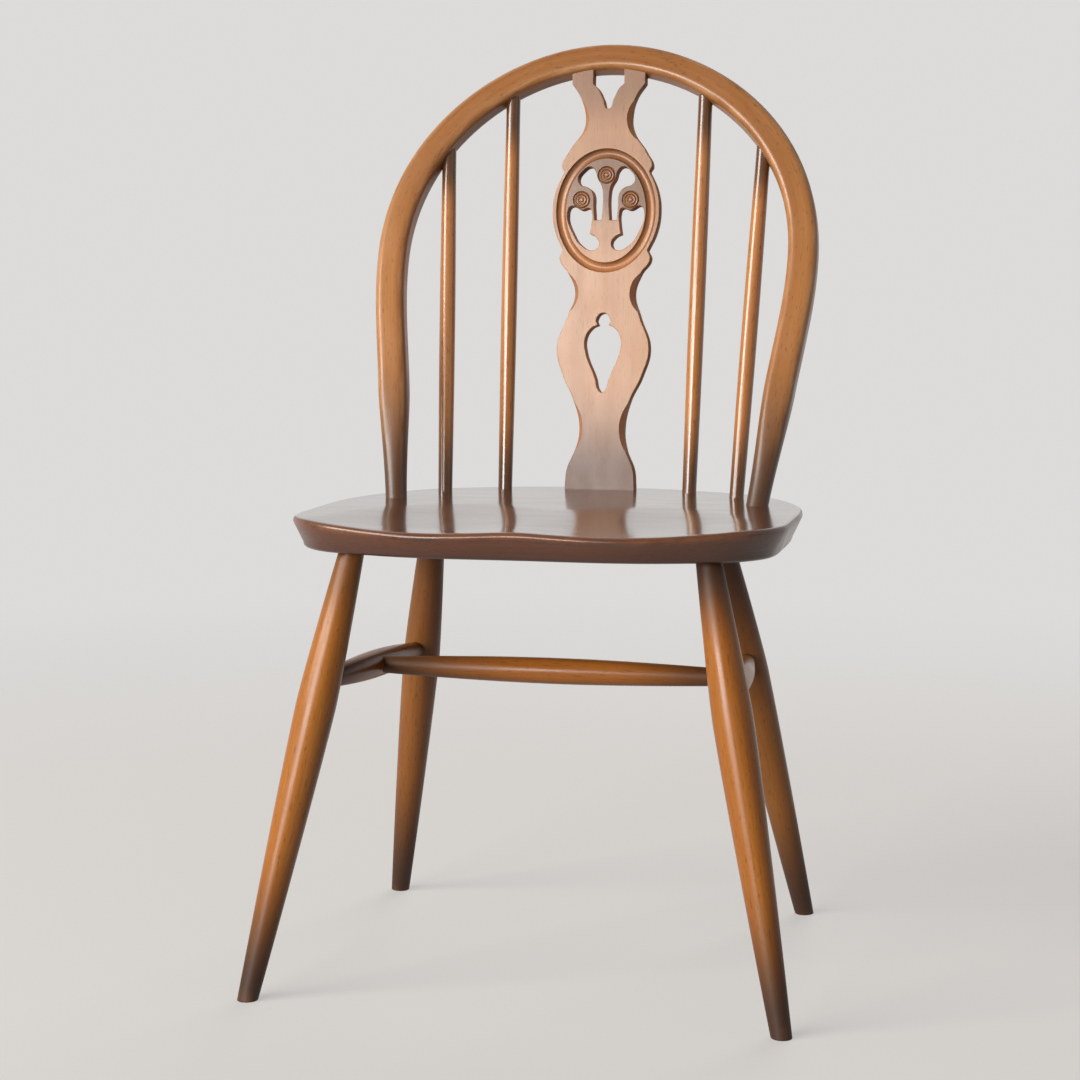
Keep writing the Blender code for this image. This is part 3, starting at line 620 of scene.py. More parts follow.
def tone_and_shade_leg(leg, painted_shade_all_over, at_top, toner_and_shade_reach, foot_reach):
    """Toner and painted shade on a leg along Z: painted shade all over, toner and the seat's painted shadow
    at the top, and toner at the foot.
    """
    height = points_of(leg)[:, 2]
    at_ends = at_top * ease(height, SEAT_UNDERSIDE - toner_and_shade_reach, SEAT_UNDERSIDE)
    at_ends += FOOT_TONER * ease(height, foot_reach, FOOT_TONER_FULL)
    paint(leg, "tone", np.maximum(painted_shade_all_over, at_ends))
    paint(leg, "wear", SOLE_WEAR * ease(height, SOLE_WEAR_HEIGHT, 0.0))


soles = {mount["name"]: Vector(mount["pos_m"]) for mount in frame["record"]["mounts"]}
for number, place in ((0, "front"), (2, "rear")):
    left_leg = turn_leg(soles[f"{place}_left_sole"], axis_of(f"{place}_leg_left")[1])
    right_leg = copy_of(left_leg)
    for offset, (side, leg) in enumerate((("left", left_leg), ("right", right_leg))):
        node = f"{place}_leg_{side}"
        tone_and_shade_leg(leg, *LEG_TONER_AND_SEAT_SHADE[node])
        season(leg, number + offset)
        set_in_place(leg, along(soles[f"{place}_{side}_sole"], axis_of(node)[1]))
        saw_level(leg)
        hand_over(leg, node, turned_finish)

# %% [markdown]
# ## Stretchers and sticks
#
# Both are rods that swell towards the middle, with straight ends that go into round holes. The
# stretchers form an H between the legs. The sticks run from the seat into the bow, and the light picks
# out one long line on each of them. Toner is sprayed on both ends.

# %% Rods
ROD_STEPS = 32
ROD_TONER = 0.8


def make_rods(nodes, end_radius, middle_radius, straight, reach, number, finish):
    """Rods of one length with straight ends, and toner that reaches in from each end."""
    start, end = axis_of(nodes[0])
    length = (end - start).length
    first_swell = straight[0]
    last_swell = length - straight[1]
    profile = [(0.0, end_radius)]
    for i in range(ROD_STEPS + 1):
        share = i / ROD_STEPS
        radius = end_radius + (middle_radius - end_radius) * math.sin(math.pi * share)
        profile.append((first_swell + (last_swell - first_swell) * share, radius))
    profile.append((length, end_radius))
    rod = turn_on_lathe(profile)
    distance = points_of(rod)[:, 2]
    first_end = ease(distance, first_swell + reach[0], first_swell)
    last_end = ease(distance, last_swell - reach[1], last_swell)
    paint(rod, "tone", ROD_TONER * np.maximum(first_end, last_end))
    rods = [rod] + [copy_of(rod) for _ in nodes[1:]]
    for offset, (rod, node) in enumerate(zip(rods, nodes)):
        season(rod, number + offset)
        set_in_place(rod, along(*axis_of(node)))
        hand_over(rod, node, finish)


# %% Side stretchers
STRETCHER_END_RADIUS = 0.0083
SIDE_STRETCHER_RADIUS = 0.0132
IN_LEG = 0.0218
make_rods(
    ["side_stretcher_left", "side_stretcher_right"], STRETCHER_END_RADIUS, SIDE_STRETCHER_RADIUS,
    straight=(IN_LEG, IN_LEG), reach=(0.08, 0.02), number=5, finish=turned_finish,
)

# %% Sticks
STICK_END_RADIUS = 0.0072
STICK_RADIUS = 0.0081
STICK_IN_SEAT = 0.024
STICK_IN_BOW = 0.041
for number, place in ((7, "outer"), (9, "inner")):
    make_rods(
        [f"{place}_stick_left", f"{place}_stick_right"], STICK_END_RADIUS, STICK_RADIUS,
        straight=(STICK_IN_SEAT, STICK_IN_BOW), reach=(0.08, 0.04), number=number, finish=stick_finish,
    )

# %% Cross stretcher
CROSS_STRETCHER_RADIUS = 0.0124
IN_STRETCHER = 0.0167
make_rods(
    ["cross_stretcher"], STRETCHER_END_RADIUS, CROSS_STRETCHER_RADIUS,
    straight=(IN_STRETCHER, IN_STRETCHER), reach=(0.15, 0.11), number=12, finish=turned_finish,
)

# %% [markdown]
# ## The bow
#
# The bow is one square length with rounded edges, steamed and bent in a plane that leans back. Its
# centre line is a Bezier curve with knots at each foot, limb and shoulder and one at the crown, and
# a rounded section is swept along it.

# %% Bow path
BOW_FOOT = Vector((0.1795, 0.0455))
BOW_RAKE = math.radians(22.6)
BOW_FOOT_SPLAY = math.radians(7.2)
BOW_HALF_WIDTH = 0.2092
BOW_WIDEST = 0.2564
BOW_RISE = 0.4735
BOW_LIMB_FULLNESS = 0.36
BOW_SHOULDER_FULLNESS = 0.6045
BOW_CROWN_FULLNESS = 0.481
BOW_TAPER_LENGTH = 0.120
BOW_FOOT_SCALE = 0.77
BOW_LIMB_SCALE = 1.07
BOW_BELOW_DECK = (SEAT_HEIGHT - SEAT_UNDERSIDE) / math.cos(BOW_RAKE) / math.cos(BOW_FOOT_SPLAY)

upwards = Vector((math.sin(BOW_FOOT_SPLAY), math.cos(BOW_FOOT_SPLAY)))
foot = Vector((BOW_FOOT.x, 0.0))
tail = foot - upwards * BOW_BELOW_DECK
limb = foot + upwards * BOW_TAPER_LENGTH
shoulder = Vector((BOW_HALF_WIDTH, BOW_WIDEST))
crown = Vector((0.0, BOW_RISE))
limb_reach = BOW_LIMB_FULLNESS * (BOW_WIDEST - BOW_TAPER_LENGTH)
arch_reach = BOW_SHOULDER_FULLNESS * (BOW_RISE - BOW_WIDEST)
crown_reach = Vector((BOW_CROWN_FULLNESS * BOW_HALF_WIDTH, 0.0))
third = (limb - foot) / 3
right_knots = [
    (tail, tail, (tail + foot) / 2, BOW_FOOT_SCALE),
    ((tail + foot) / 2, foot, foot + third, BOW_FOOT_SCALE),
    (limb - third, limb, limb + upwards * limb_reach, BOW_LIMB_SCALE),
    (shoulder - Vector((0, limb_reach)), shoulder, shoulder + Vector((0, arch_reach)), BOW_LIMB_SCALE),
]


def flipped(point):
    return Vector((-point.x, point.y))


left_knots = [(flipped(c), flipped(b), flipped(a), scale) for a, b, c, scale in reversed(right_knots)]
bow_knots = right_knots + [(crown + crown_reach, crown, crown - crown_reach, 1.0)] + left_knots
print("the bow has", len(bow_knots), "knots")

# %% Bow section
BOW_WIDTH = 0.0275
BOW_DEPTH = 0.0245
BOW_CORNER = 0.0070
CORNER_STEPS = 7
FLAT_STEPS = 6


def rounded_section(half_width, half_depth, corner):
    """The points of a rectangle with rounded corners, anticlockwise, with more points on its flats."""
    arcs = []
    for quarter, (x, y) in enumerate([(1, 1), (-1, 1), (-1, -1), (1, -1)]):
        middle = Vector((x * (half_width - corner), y * (half_depth - corner)))
        turns = [math.radians(90.0 * (quarter + i / CORNER_STEPS)) for i in range(CORNER_STEPS + 1)]
        arcs.append([middle + corner * Vector((math.cos(turn), math.sin(turn))) for turn in turns])
    outline = []
    for arc, next_arc in zip(arcs, arcs[1:] + arcs[:1]):
        outline += arc
        outline += [arc[-1].lerp(next_arc[0], i / FLAT_STEPS) for i in range(1, FLAT_STEPS)]
    return outline


section = rounded_section(BOW_WIDTH / 2, BOW_DEPTH / 2, BOW_CORNER)
section_curve = bpy.data.curves.new("bow_section", "CURVE")
ring = section_curve.splines.new("POLY")
ring.points.add(len(section) - 1)
ring.use_cyclic_u = True
for point, (x, y) in zip(ring.points, section):
    point.co = (x, y, 0.0, 1.0)
section_object = new_object("bow_section", section_curve)
print("the section has", len(section), "points")

# %% Bow sweep
BOW_STEPS = 32
TOUCHING = 0.000005


def as_mesh(curve):
    """The curve as a closed mesh whose faces point outwards."""
    only(curve)
    bpy.ops.object.convert(target="MESH")
    edit(curve, "SELECT")
    bpy.ops.mesh.remove_doubles(threshold=TOUCHING)
    bpy.ops.mesh.normals_make_consistent(inside=False)
    stop_editing()


path = bpy.data.curves.new("bow", "CURVE")
path.dimensions = "3D"
path.twist_mode = "Z_UP"
path.resolution_u = BOW_STEPS
path.bevel_mode = "OBJECT"
path.bevel_object = section_object
path.use_fill_caps = True
spline = path.splines.new("BEZIER")
spline.radius_interpolation = "EASE"
spline.bezier_points.add(len(bow_knots) - 1)
for point, (before, place, after, scale) in zip(spline.bezier_points, bow_knots):
    point.handle_left_type = "FREE"
    point.handle_right_type = "FREE"
    point.co = (*place, 0.0)
    point.handle_left = (*before, 0.0)
    point.handle_right = (*after, 0.0)
    point.radius = scale
bow = new_object("bow_sweep", path)
as_mesh(bow)
bpy.data.objects.remove(section_object)
print("the swept bow has", len(bow.data.vertices), "points")

# %% [markdown]
# The grain has to follow the bend, but the swept mesh knows nothing of the path any more. So the path
# is walked once more in small steps, and each point of the mesh takes the distance of the step that
# lies nearest. Toner is thick at the feet, and there is a little of it over the arch.

# %% Bow grain
WALK_STEPS = 60
BOW_FOOT_TONER = 0.88
BOW_FOOT_TONED = (0.17, 0.01)
BOW_ARCH_TONER = 0.14
BOW_ARCH_TONED = (0.25, 0.38)


def walk(knots):
    """Points along a chain of Bezier knots, with the distance walked to each."""
    places = []
    for (_, a, b, _), (c, d, _, _) in zip(knots, knots[1:]):
        for i in range(WALK_STEPS):
            t = i / WALK_STEPS
            s = 1.0 - t
            places.append(a * s**3 + b * 3 * s * s * t + c * 3 * s * t * t + d * t**3)
    places.append(knots[-1][1])
    places = np.array(places)
    walked = np.linalg.norm(np.diff(places, axis=0), axis=1)
    return places, np.concatenate([[0.0], np.cumsum(walked)])


route, walked = walk(bow_knots)
heading = np.gradient(route, axis=0)
heading /= np.linalg.norm(heading, axis=1)[:, None]
bow_points = points_of(bow)
nearest = np.array([np.argmin(((route - point[:2]) ** 2).sum(axis=1)) for point in bow_points])
off = bow_points[:, :2] - route[nearest]
sideways = off[:, 1] * heading[nearest, 0] - off[:, 0] * heading[nearest, 1]
bow_length = walked[-1]
travelled = walked[nearest]
paint(bow, "grain", np.column_stack([sideways, bow_points[:, 2], travelled]))
from_deck = np.minimum(travelled, bow_length - travelled) - BOW_BELOW_DECK
bow_tone = BOW_FOOT_TONER * ease(from_deck, *BOW_FOOT_TONED)
bow_tone += BOW_ARCH_TONER * ease(from_deck, *BOW_ARCH_TONED)
paint(bow, "tone", bow_tone)
print("the bow is", round(bow_length, 3), "m long")

# %% [markdown]
# Towards its feet, the bow is shaved from square to round. Each point there moves from the rounded
# square to the oval that fits inside it. The limbs above keep slightly softer edges than the crown.
# Where edges stay square, hands have rubbed them.

# %% Bow feet
ROUND_FOOT = 0.95
ROUND_FOOT_SPAN = (0.13, 0.01)
SOFT_LIMB = 0.08
SOFT_LIMB_SPAN = (0.36, 0.20)
BOW_EDGE_WEAR = 0.8
BOW_EDGE_SPAN = (0.55, 0.80)


def widest_at(values):
    """The largest size near each step of the path."""
    widest = np.zeros(len(route))
    np.maximum.at(widest, nearest, np.abs(values))
    padded = np.pad(widest, 2)
    return np.max([padded[i:i + len(widest)] for i in range(5)], axis=0)


half_width = widest_at(sideways)[nearest]
half_depth = widest_at(bow_points[:, 2])[nearest]
turn = np.arctan2(bow_points[:, 2] / half_depth, sideways / half_width)
roundness = np.maximum(
    ROUND_FOOT * ease(from_deck, *ROUND_FOOT_SPAN), SOFT_LIMB * ease(from_deck, *SOFT_LIMB_SPAN)
)
corner_share = np.abs(sideways) / half_width * np.abs(bow_points[:, 2]) / half_depth
paint(bow, "wear", BOW_EDGE_WEAR * ease(corner_share, *BOW_EDGE_SPAN) * (1.0 - roundness))
shift = roundness * (half_width * np.cos(turn) - sideways)
bow_points[:, 0] -= shift * heading[nearest, 1]
bow_points[:, 1] += shift * heading[nearest, 0]
bow_points[:, 2] += roundness * (half_depth * np.sin(turn) - bow_points[:, 2])
move_points(bow, bow_points)
print("the bow's feet are", round(2000 * half_width[from_deck < 0.02].max(), 1), "mm across")

# %% [markdown]
# So far the bow lies flat. Now it is leaned back and stood on the deck, and what comes out under the
# seat is sawn off level.

# %% Bow in place
lean = Matrix.Rotation(math.pi / 2 - BOW_RAKE, 4, "X")
set_in_place(bow, Matrix.Translation((0.0, BOW_FOOT.y, SEAT_HEIGHT)) @ lean)
saw_off(bow, SEAT_UNDERSIDE)
hand_over(bow, "bow", bow_finish)

# %% [markdown]
# ## The splat
#
# The splat is a flat board, sawn to a wavy outline and pierced. A flat curve with a small bevel gives
# the board its eased edges at once, holes included. It is drawn by half outlines, which are stretched
# to the height of the board in the frame.

# %% Splat drawing
# Half outlines from the seat to the bow: half width and height, and a C where there is a corner
SPLAT_SIDE = [
    (0.0362, 0.004, "C"), (0.0345, 0.020), (0.0262, 0.041), (0.0235, 0.062), (0.0290, 0.090),
    (0.0410, 0.116), (0.0480, 0.145), (0.0375, 0.177), (0.0312, 0.2005), (0.0375, 0.2205),
    (0.0472, 0.236), (0.0440, 0.2445, "C"), (0.0526, 0.264), (0.0556, 0.2852), (0.0526, 0.3064),
    (0.0442, 0.3252, "C"), (0.0470, 0.331), (0.0405, 0.345), (0.0255, 0.369), (0.0246, 0.386),
    (0.0290, 0.4015), (0.0380, 0.415, "C"), (0.0380, 0.426, "C"),
]
PRONG_NOTCH = [
    (0.0160, 0.426, "C"), (0.0160, 0.415, "C"), (0.0105, 0.4095), (0.0056, 0.400), (0.0, 0.3895),
]
UPPER_OPENING = [
    (0.0042, 0.2755, "C"), (0.0115, 0.2755, "C"), (0.0125, 0.288), (0.0143, 0.3045), (0.0190, 0.3088),
    (0.0268, 0.3118), (0.0295, 0.3175), (0.0245, 0.326), (0.0170, 0.3300), (0.0118, 0.3258),
    (0.0095, 0.3185), (0.0048, 0.3098), (0.0034, 0.3020),
]
LOWER_OPENING = [
    (0.0143, 0.2820), (0.0165, 0.2873), (0.0255, 0.2860), (0.0362, 0.2898), (0.0398, 0.2830),
    (0.0338, 0.2620), (0.0240, 0.2490), (0.0120, 0.2447), (0.0064, 0.2510), (0.0100, 0.2580),
    (0.0163, 0.2615, "C"), (0.0148, 0.2710),
]
PEAR_SIDE = [
    (0.0, 0.0988), (0.0040, 0.1022), (0.0070, 0.1130), (0.0178, 0.1410), (0.0184, 0.1540),
    (0.0123, 0.1645), (0.0057, 0.1680, "C"), (0.0073, 0.1735), (0.0, 0.1803),
]
SPLAT_Y = 0.1779
SPLAT_RAKE = math.radians(6.0)
SPLAT_THICKNESS = 0.015
SPLAT_PRONG_TENON = 0.009
splat_face = SPLAT_THICKNESS / 2
splat_top = (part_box("splat")[1].z - SEAT_HEIGHT) / math.cos(SPLAT_RAKE)
splat_top -= splat_face * math.tan(SPLAT_RAKE)
splat_stretch = (splat_top - SPLAT_PRONG_TENON) / SPLAT_SIDE[-1][1]
splat_place = Matrix.Translation((0.0, SPLAT_Y, SEAT_HEIGHT))
splat_place = splat_place @ Matrix.Rotation(math.pi / 2 - SPLAT_RAKE, 4, "X")
print("the drawing is stretched by", round(splat_stretch, 4))


# %% Flat curves
def drawn(points):
    return [(x, height * splat_stretch, *corner) for x, height, *corner in points]


def both_halves(half):
    """A closed outline from its right half."""
    return half + [(-x, y, *corner) for x, y, *corner in reversed(half) if x > 0]


def flat_curve(name, outlines, steps):
    """A flat curve through closed outlines of corners and smooth points."""
    data = bpy.data.curves.new(name, "CURVE")
    data.dimensions = "2D"
    data.resolution_u = steps
    for outline in outlines:
        spline = data.splines.new("BEZIER")
        spline.bezier_points.add(len(outline) - 1)
        spline.use_cyclic_u = True
        for point, (x, y, *corner) in zip(spline.bezier_points, outline):
            point.co = (x, y, 0.0)
            point.handle_left_type = "VECTOR" if corner else "AUTO"
            point.handle_right_type = point.handle_left_type
    return new_object(name, data)


# %% [markdown]
# The splat is paler and pinker than the rest, under a thin film of lacquer. Part of that pale pink is a
# painted sheen laid into its colour. Its flat faces have few points, so its toner can't ride on them as
# it does on the legs. It is worked out in the material, from the place in the timber: thick at the foot,
# thinner at the forked top, and on the upper ground inside the oval, where only the front has it. A
# little painted shade darkens the board around the oval.

# %% Splat finish
COVE_HEIGHT = 0.2852 * splat_stretch
COVE_HALF_WIDTH = 0.0467
COVE_HALF_LENGTH = 0.0582
# Two heights, and the strength at each: of toner on the first three, of painted shade on the two around the
# oval
SPLAT_FOOT_SPRAY = (0.115, 0.015, 0.0, 0.86)
SPLAT_TOP_SPRAY = (0.345, 0.412, 0.0, 0.50)
GROUND_SPRAY = (COVE_HEIGHT - 0.030, COVE_HEIGHT + 0.015, 0.0, 0.66)
SHADE_BELOW_OVAL = (0.235, 0.262, 0.0, 0.15)
SHADE_ABOVE_OVAL = (0.378, 0.355, 0.0, 1.0)
# The oval's edge as a share of its size, and the depth at which the front begins
OVAL_EDGE = (1.03, 0.97)
FRONT_SPAN = (0.0, 0.004)


def splat_toner_and_shade(tree):
    """The toner on the splat's foot, its top and the oval's ground, and the painted shade around the oval:
    the strongest of these.
    """
    across, front, up = add(tree, "SeparateXYZ", {0: attribute(tree, "grain")["Vector"]}).outputs
    at_foot = between(tree, up, *SPLAT_FOOT_SPRAY)
    at_top = between(tree, up, *SPLAT_TOP_SPRAY)
    wide = calculated(tree, "POWER", calculated(tree, "DIVIDE", across, COVE_HALF_WIDTH), 2.0)
    off = calculated(tree, "SUBTRACT", up, COVE_HEIGHT)
    high = calculated(tree, "POWER", calculated(tree, "DIVIDE", off, COVE_HALF_LENGTH), 2.0)
    inside = between(tree, calculated(tree, "ADD", wide, high), *OVAL_EDGE)
    in_oval = calculated(tree, "MULTIPLY", inside, between(tree, up, *GROUND_SPRAY))
    in_oval = calculated(tree, "MULTIPLY", in_oval, between(tree, front, *FRONT_SPAN))
    # Painted shade around the oval
    around = calculated(tree, "MULTIPLY", between(tree, up, *SHADE_BELOW_OVAL), between(tree, up, *SHADE_ABOVE_OVAL))
    at_ends = calculated(tree, "MAXIMUM", at_foot, at_top)
    return calculated(tree, "MAXIMUM", at_ends, calculated(tree, "MAXIMUM", in_oval, around))


# Part of this pale pink colour is a painted sheen; the rest is the splat's own wood.
splat_finish = lacquered_wood(
    "splat_finish", (0.475, 0.265, 0.148), (0.395, 0.208, 0.110), (0.098, 0.062, 0.053),
    gloss=0.22, coat=0.0, flecks=0.22, shine=0.28, dulling=0.06, toner_and_shade_source=splat_toner_and_shade,
)
print("the oval's middle is", round(COVE_HEIGHT, 3), "m up the splat")

# %% Splat board
SPLAT_FOOT_TENON = 0.012
SPLAT_EASED = 0.0007
SPLAT_STEPS = 16

side_outline = [(SPLAT_SIDE[0][0], -SPLAT_FOOT_TENON, "C")] + drawn(SPLAT_SIDE)
side_outline += [(SPLAT_SIDE[-1][0], splat_top, "C"), (PRONG_NOTCH[0][0], splat_top, "C")]
side_outline += drawn(PRONG_NOTCH)
outlines = [both_halves(side_outline), both_halves(drawn(PEAR_SIDE))]
for opening in (UPPER_OPENING, LOWER_OPENING):
    outlines.append(drawn(opening))
    outlines.append([(-x, y, *corner) for x, y, *corner in drawn(opening)])
splat = flat_curve("splat_board", outlines, SPLAT_STEPS)
splat.data.fill_mode = "BOTH"
splat.data.bevel_depth = SPLAT_EASED
splat.data.bevel_resolution = 2
splat.data.offset = -SPLAT_EASED
splat.data.extrude = splat_face - SPLAT_EASED
as_mesh(splat)
splat.data.materials.append(splat_finish)
print("the board has", len(splat.data.polygons), "faces")

# %% [markdown]
# The carving is cut away with Boolean cutters, which carry the carving's finish, and the cut faces keep
# it. The first cut is a cove in an oval. A torus would do for a circle. To make an oval cove of even
# width, each point of the torus is moved onto the oval, at its own distance along the oval's normal.

# %% Cove
COVE_RADIUS = 0.0057
COVE_DEPTH = 0.0034


def carve(cutter):
    """Cut the splat with a closed mesh, and give the cut the carving's finish."""
    cutter.data.materials.append(carving_finish)
    only(splat)
    boolean = splat.modifiers.new("carving", "BOOLEAN")
    boolean.object = cutter
    boolean.operation = "DIFFERENCE"
    boolean.solver = "EXACT"
    boolean.material_mode = "TRANSFER"
    bpy.ops.object.modifier_apply(modifier=boolean.name)
    bpy.data.objects.remove(cutter)


start_clean()
bpy.ops.mesh.primitive_torus_add(
    major_radius=COVE_HALF_WIDTH, minor_radius=COVE_RADIUS, major_segments=144, minor_segments=40
)
cove = bpy.context.object
ring_points = points_of(cove)
angle = np.arctan2(ring_points[:, 1], ring_points[:, 0])
centre = np.column_stack([np.cos(angle), np.sin(angle)]) * COVE_HALF_WIDTH
outward = np.column_stack([COVE_HALF_LENGTH * np.cos(angle), COVE_HALF_WIDTH * np.sin(angle)])
outward /= np.linalg.norm(outward, axis=1)[:, None]
radial = np.linalg.norm(ring_points[:, :2], axis=1) - COVE_HALF_WIDTH
centre[:, 1] *= COVE_HALF_LENGTH / COVE_HALF_WIDTH
ring_points[:, :2] = centre + outward * radial[:, None]
ring_points[:, 1] += COVE_HEIGHT
ring_points[:, 2] += splat_face + COVE_RADIUS - COVE_DEPTH
move_points(cove, ring_points)
carve(cove)
print("with its cove the splat has", len(splat.data.polygons), "faces")

# %% [markdown]
# The thistle's three heads are roundels with raised rings. A cutter with rings of its own is turned on
# the lathe and cuts each head.

# %% Roundels
ROUNDEL_RADIUS = 0.0092
ROUNDEL_DEPTH = 0.0015
ROUNDELS = [(0.0, 0.3215), (-0.0255, 0.2962), (0.0255, 0.2962)]
# Share of the depth and radius, from the middle outwards
ROUNDEL_PROFILE = [
    (0.0, 0.0010), (-0.2, 0.0016), (-1.0, 0.0022), (-1.0, 0.0028), (-0.25, 0.0034), (-0.15, 0.0042),
    (-0.95, 0.0049), (-1.0, 0.0055), (-0.25, 0.0062), (-0.10, 0.0070), (-0.9, 0.0078), (-1.0, 0.0084),
    (-0.6, ROUNDEL_RADIUS), (1.0, ROUNDEL_RADIUS),
]
roundel = turn_on_lathe([(ROUNDEL_DEPTH * depth, radius) for depth, radius in ROUNDEL_PROFILE])
for cutter, (x, height) in zip([copy_of(roundel), copy_of(roundel), roundel], ROUNDELS):
    set_in_place(cutter, Matrix.Translation((x, height * splat_stretch, splat_face)))
    carve(cutter)
print("with its roundels the splat has", len(splat.data.polygons), "faces")

# %% [markdown]
# Each waist has a long stopped chamfer on its front edge, which runs out at both ends. A cone that
# stands beside the waist and widens to the front cuts just that: deepest at the waist, and nothing
# where the outline swings away.

# %% Chamfers
CHAMFER_WIDTH = 0.0046
CHAMFER_DEPTH = 0.0065
CHAMFER_SIDES = 192
# Half width and height of each waist, and the radius of the chamfering cutter
WAISTS = [(0.0235, 0.062, 0.042), (0.0312, 0.2005, 0.025), (0.0243, 0.379, 0.027)]
for waist_x, waist_height, radius in WAISTS:
    start_clean()
    bpy.ops.mesh.primitive_cone_add(
        vertices=CHAMFER_SIDES, radius1=radius - CHAMFER_WIDTH, radius2=radius + CHAMFER_WIDTH,
        depth=2 * CHAMFER_DEPTH,
    )
    chamfer = bpy.context.object
    for side, cutter in ((-1, copy_of(chamfer)), (1, chamfer)):
        middle = (side * (waist_x - CHAMFER_WIDTH + radius), waist_height * splat_stretch, splat_face)
        set_in_place(cutter, Matrix.Translation(middle))
        carve(cutter)
print("the carved splat has", len(splat.data.polygons), "faces")

# %% [markdown]
# The splat's fibres run up the board. Its sawn edges and the walls of its piercings have hardly any
# lacquer, so those faces get a dull finish of their own, whose colour is painted light. In the carving,
# the cove is darker at its rims and the roundels in their rings, and painted shade lies over the cove's
# upper part.

# %% Splat grain
COVE_REACH = 0.0075
COVE_RIM_DARKENING = 0.45
RIM_SPAN = (0.0025, 0.0052)
UPPER_COVE_PAINTED_SHADE = 0.38
UPPER_COVE_SHADE_START = COVE_HEIGHT - 0.010
ROUNDEL_DARKENING = 0.10
RING_DARKENING = 0.65
RING_SPAN = (splat_face - 0.0003, splat_face - 0.0013)

splat.data.materials.append(sawn_finish)
sawn_slot = len(splat.data.materials) - 1
for face in splat.data.polygons:
    if face.material_index == 0 and abs(face.normal.z) < 0.5:
        face.material_index = sawn_slot
x, up, front = points_of(splat).T
paint(splat, "grain", np.column_stack([x, front, up]))
oval = np.sqrt((x / COVE_HALF_WIDTH) ** 2 + ((up - COVE_HEIGHT) / COVE_HALF_LENGTH) ** 2)
from_cove = np.abs(oval - 1.0) * (COVE_HALF_WIDTH + COVE_HALF_LENGTH) / 2
cove_darkening_and_shade = COVE_RIM_DARKENING * ease(from_cove, *RIM_SPAN)
# Painted shade over the cove's upper part, where its wall would be shaded from above
cove_darkening_and_shade += UPPER_COVE_PAINTED_SHADE * ease(up, UPPER_COVE_SHADE_START, COVE_HEIGHT + COVE_HALF_LENGTH)
cove_darkening_and_shade *= from_cove < COVE_REACH
in_rings = np.zeros(len(up))
for roundel_x, roundel_height in ROUNDELS:
    reach = np.hypot(x - roundel_x, up - roundel_height * splat_stretch)
    toner = ROUNDEL_DARKENING + RING_DARKENING * ease(front, *RING_SPAN)
    in_rings = np.maximum(in_rings, (reach < 1.05 * ROUNDEL_RADIUS) * toner)
paint(splat, "tone", np.maximum(cove_darkening_and_shade, in_rings))
set_in_place(splat, splat_place)
board_normal = splat_place.to_3x3() @ Vector((0.0, 0.0, 1.0))
hand_over(splat, "splat", angle=28.0, flat=board_normal)

# %% [markdown]
# ## The seat
#
# The seat starts as a flat outline. The outline is filled, thickened, and its upper edge is rounded by
# insetting and raising the top face in small steps. The sides are undercut, so that the board looks
# thinner than it is. Rings towards the middle then give the top enough points to sink two shallow
# hollows into it, with a low ridge between them.

# %% Seat outline
SEAT_HALF_WIDTH = 0.2295
SEAT_FRONT = -0.2112
SEAT_BACK = 0.1988
# Half of the plan, front to back: share of the half width, share of the depth
SEAT_PLAN = [
    (0.0, 0.0), (0.62, 0.025), (0.93, 0.125), (1.0, 0.32), (0.83, 0.80), (0.48, 0.95), (0.0, 1.0),
]
SEAT_STEPS = 20
SEAT_LIP_RADIUS = 0.0040
SEAT_LIP_BAND = 0.0010
seat_depth = SEAT_BACK - SEAT_FRONT
half_plan = [(SEAT_HALF_WIDTH * x, SEAT_FRONT + seat_depth * y) for x, y in SEAT_PLAN]
seat = flat_curve("seat_board", [both_halves(half_plan)], SEAT_STEPS)
seat.data.fill_mode = "NONE"
as_mesh(seat)
lip_bottom = SEAT_HEIGHT - SEAT_LIP_RADIUS - SEAT_LIP_BAND
set_in_place(seat, Matrix.Translation((0.0, 0.0, lip_bottom)))
edit(seat, "SELECT")
bpy.ops.mesh.edge_face_add()
stop_editing()
if seat.data.polygons[0].normal.z < 0.0:
    edit(seat, "SELECT")
    bpy.ops.mesh.flip_normals()
    stop_editing()
print("the outline has", len(seat.data.vertices), "points")

# %% Seat board
SEAT_UNDERCUT = 0.009
SEAT_FOOT_RADIUS = 0.005
ROUND_STEPS = 6
SIDE_STEPS = 4
SEAT_RINGS = 30
INNERMOST_RING = 0.3
RING_CENTRE = (0.0, -0.02, 0.0)


def round_over(radius):
    """Raise the chosen face by a radius, rounding the edge around it."""
    for step in range(ROUND_STEPS):
        low = math.radians(90.0 * step / ROUND_STEPS)
        high = math.radians(90.0 * (step + 1) / ROUND_STEPS)
        inwards = radius * (math.cos(low) - math.cos(high))
        outwards = radius * (math.sin(high) - math.sin(low))
        bpy.ops.mesh.inset(thickness=inwards, depth=outwards, use_even_offset=True)


edit(seat, "SELECT")
next_ring(SEAT_LIP_BAND, 1.0)
round_over(SEAT_LIP_RADIUS)
for i in range(SEAT_RINGS):
    rings_left = SEAT_RINGS - i + INNERMOST_RING
    next_ring(0.0, (rings_left - 1.0) / rings_left, RING_CENTRE)
bpy.ops.mesh.merge(type="CENTER")
choose(seat, "polygons", lambda face: face.normal.z < -0.9)
straight = lip_bottom - SEAT_UNDERSIDE - SEAT_FOOT_RADIUS
for _ in range(SIDE_STEPS):
    bpy.ops.mesh.inset(
        thickness=SEAT_UNDERCUT / SIDE_STEPS, depth=straight / SIDE_STEPS, use_even_offset=True
    )
round_over(SEAT_FOOT_RADIUS)
stop_editing()
print("the board has", len(seat.data.polygons), "faces")

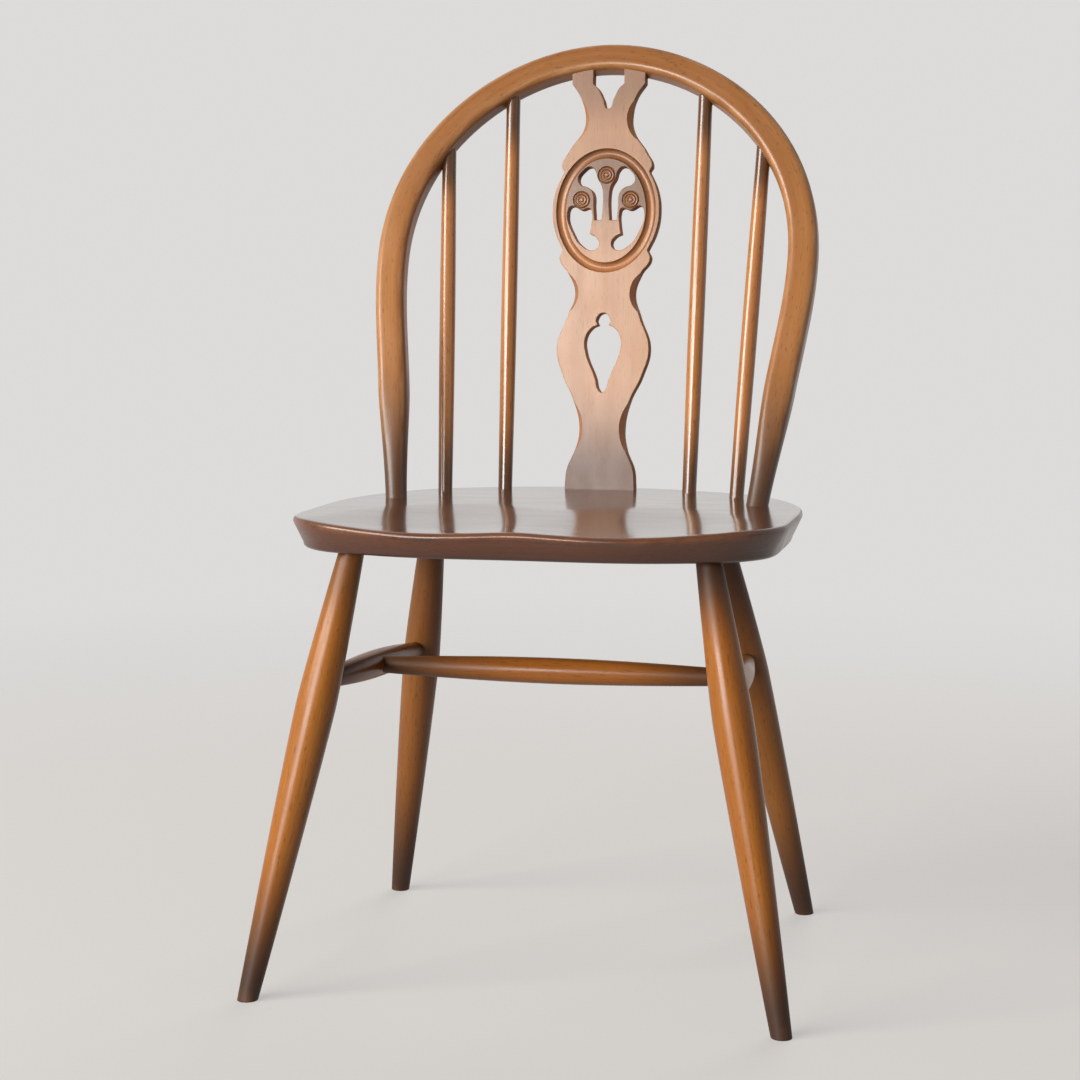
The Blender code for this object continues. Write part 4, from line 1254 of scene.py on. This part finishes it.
# %% [markdown]
# The hollows are pressed into the top points with a smooth formula, and fade out down the edge, so the
# lip waves up and down along the front. The seat's fibres run from side to side. Its edge grows darker
# downwards, and the lip is a little rubbed.

# %% Seat hollows
HOLLOW_X = 0.088
HOLLOW_Y = -0.185
HOLLOW_HALF_WIDTH = 0.118
HOLLOW_HALF_LENGTH = 0.190
HOLLOW_DEPTH = 0.0056
HOLLOW_POWER = 1.5
HOLLOW_FADE = (SEAT_HEIGHT - 0.014, SEAT_HEIGHT - 0.002)
RIDGE_SOFTNESS = 0.018

seat_points = points_of(seat)
from_middle = np.sqrt(seat_points[:, 0] ** 2 + RIDGE_SOFTNESS**2)
spot = ((from_middle - HOLLOW_X) / HOLLOW_HALF_WIDTH) ** 2
spot += ((seat_points[:, 1] - HOLLOW_Y) / HOLLOW_HALF_LENGTH) ** 2
sunk = HOLLOW_DEPTH * np.clip(1.0 - spot, 0.0, 1.0) ** HOLLOW_POWER
seat_points[:, 2] -= sunk * ease(seat_points[:, 2], *HOLLOW_FADE)
move_points(seat, seat_points)
print("the hollows are", round(1000 * sunk.max(), 1), "mm deep")

# %% Seat finish
SEAT_EDGE_DARKENING = 0.5
SEAT_EDGE_DARKENED = (SEAT_HEIGHT - 0.012, SEAT_UNDERSIDE)
LIP_WEAR = 0.30
LIP_WEAR_HEIGHT = SEAT_HEIGHT - 0.004
LIP_WEAR_BAND = 0.003
DECK_BAND = 0.0002

height = seat_points[:, 2]
paint(seat, "grain", seat_points[:, [1, 2, 0]])
# The edge grows darker downwards.
paint(seat, "tone", SEAT_EDGE_DARKENING * ease(height, *SEAT_EDGE_DARKENED))
lip = np.exp(-(((height + sunk - LIP_WEAR_HEIGHT) / LIP_WEAR_BAND) ** 2))
off_deck = np.abs(height - SEAT_HEIGHT) > DECK_BAND
paint(seat, "wear", LIP_WEAR * lip * off_deck)
seat.data.materials.append(seat_finish)
seat.data.materials.append(seat_edge_finish)
for face in seat.data.polygons:
    face.material_index = int(face.normal.z < 0.9)
hand_over(seat, "seat", angle=50.0, flat=Vector((0.0, 0.0, -1.0)))

# %% [markdown]
# ## The wedges
#
# The wedges already have their right shape in the frame, so they stay as they are and only take a bare
# wood finish. A node of the frame carries no attributes of ours, so this finish reads the object's own
# axes. The wedges stand nearly upright, with their fibres along Z.

# %% Wedges
WEDGE_RELIEF = 0.15


def bare_wood(name, pale, deep):
    """Raw split wood with its fibres along Z."""
    material, tree, shader = new_finish(name)
    fibres = noise(tree, add(tree, "TexCoord").outputs["Object"], *FIBRES)
    feed(tree, shader, {
        "Base Color": mixed(tree, between(tree, fibres, 0.35, 0.65), pale, deep),
        "Roughness": between(tree, fibres, 0.3, 0.7, 0.50, 0.66),
    })
    raise_fibres(tree, shader, fibres, WEDGE_RELIEF)
    return material


wedge_finish = bare_wood("wedge_finish", (0.45, 0.28, 0.15), (0.33, 0.18, 0.09))
for name, node in frame["nodes"].items():
    if "wedge" in name:
        node.data.materials.clear()
        node.data.materials.append(wedge_finish)
        print(name, "finished in bare wood")
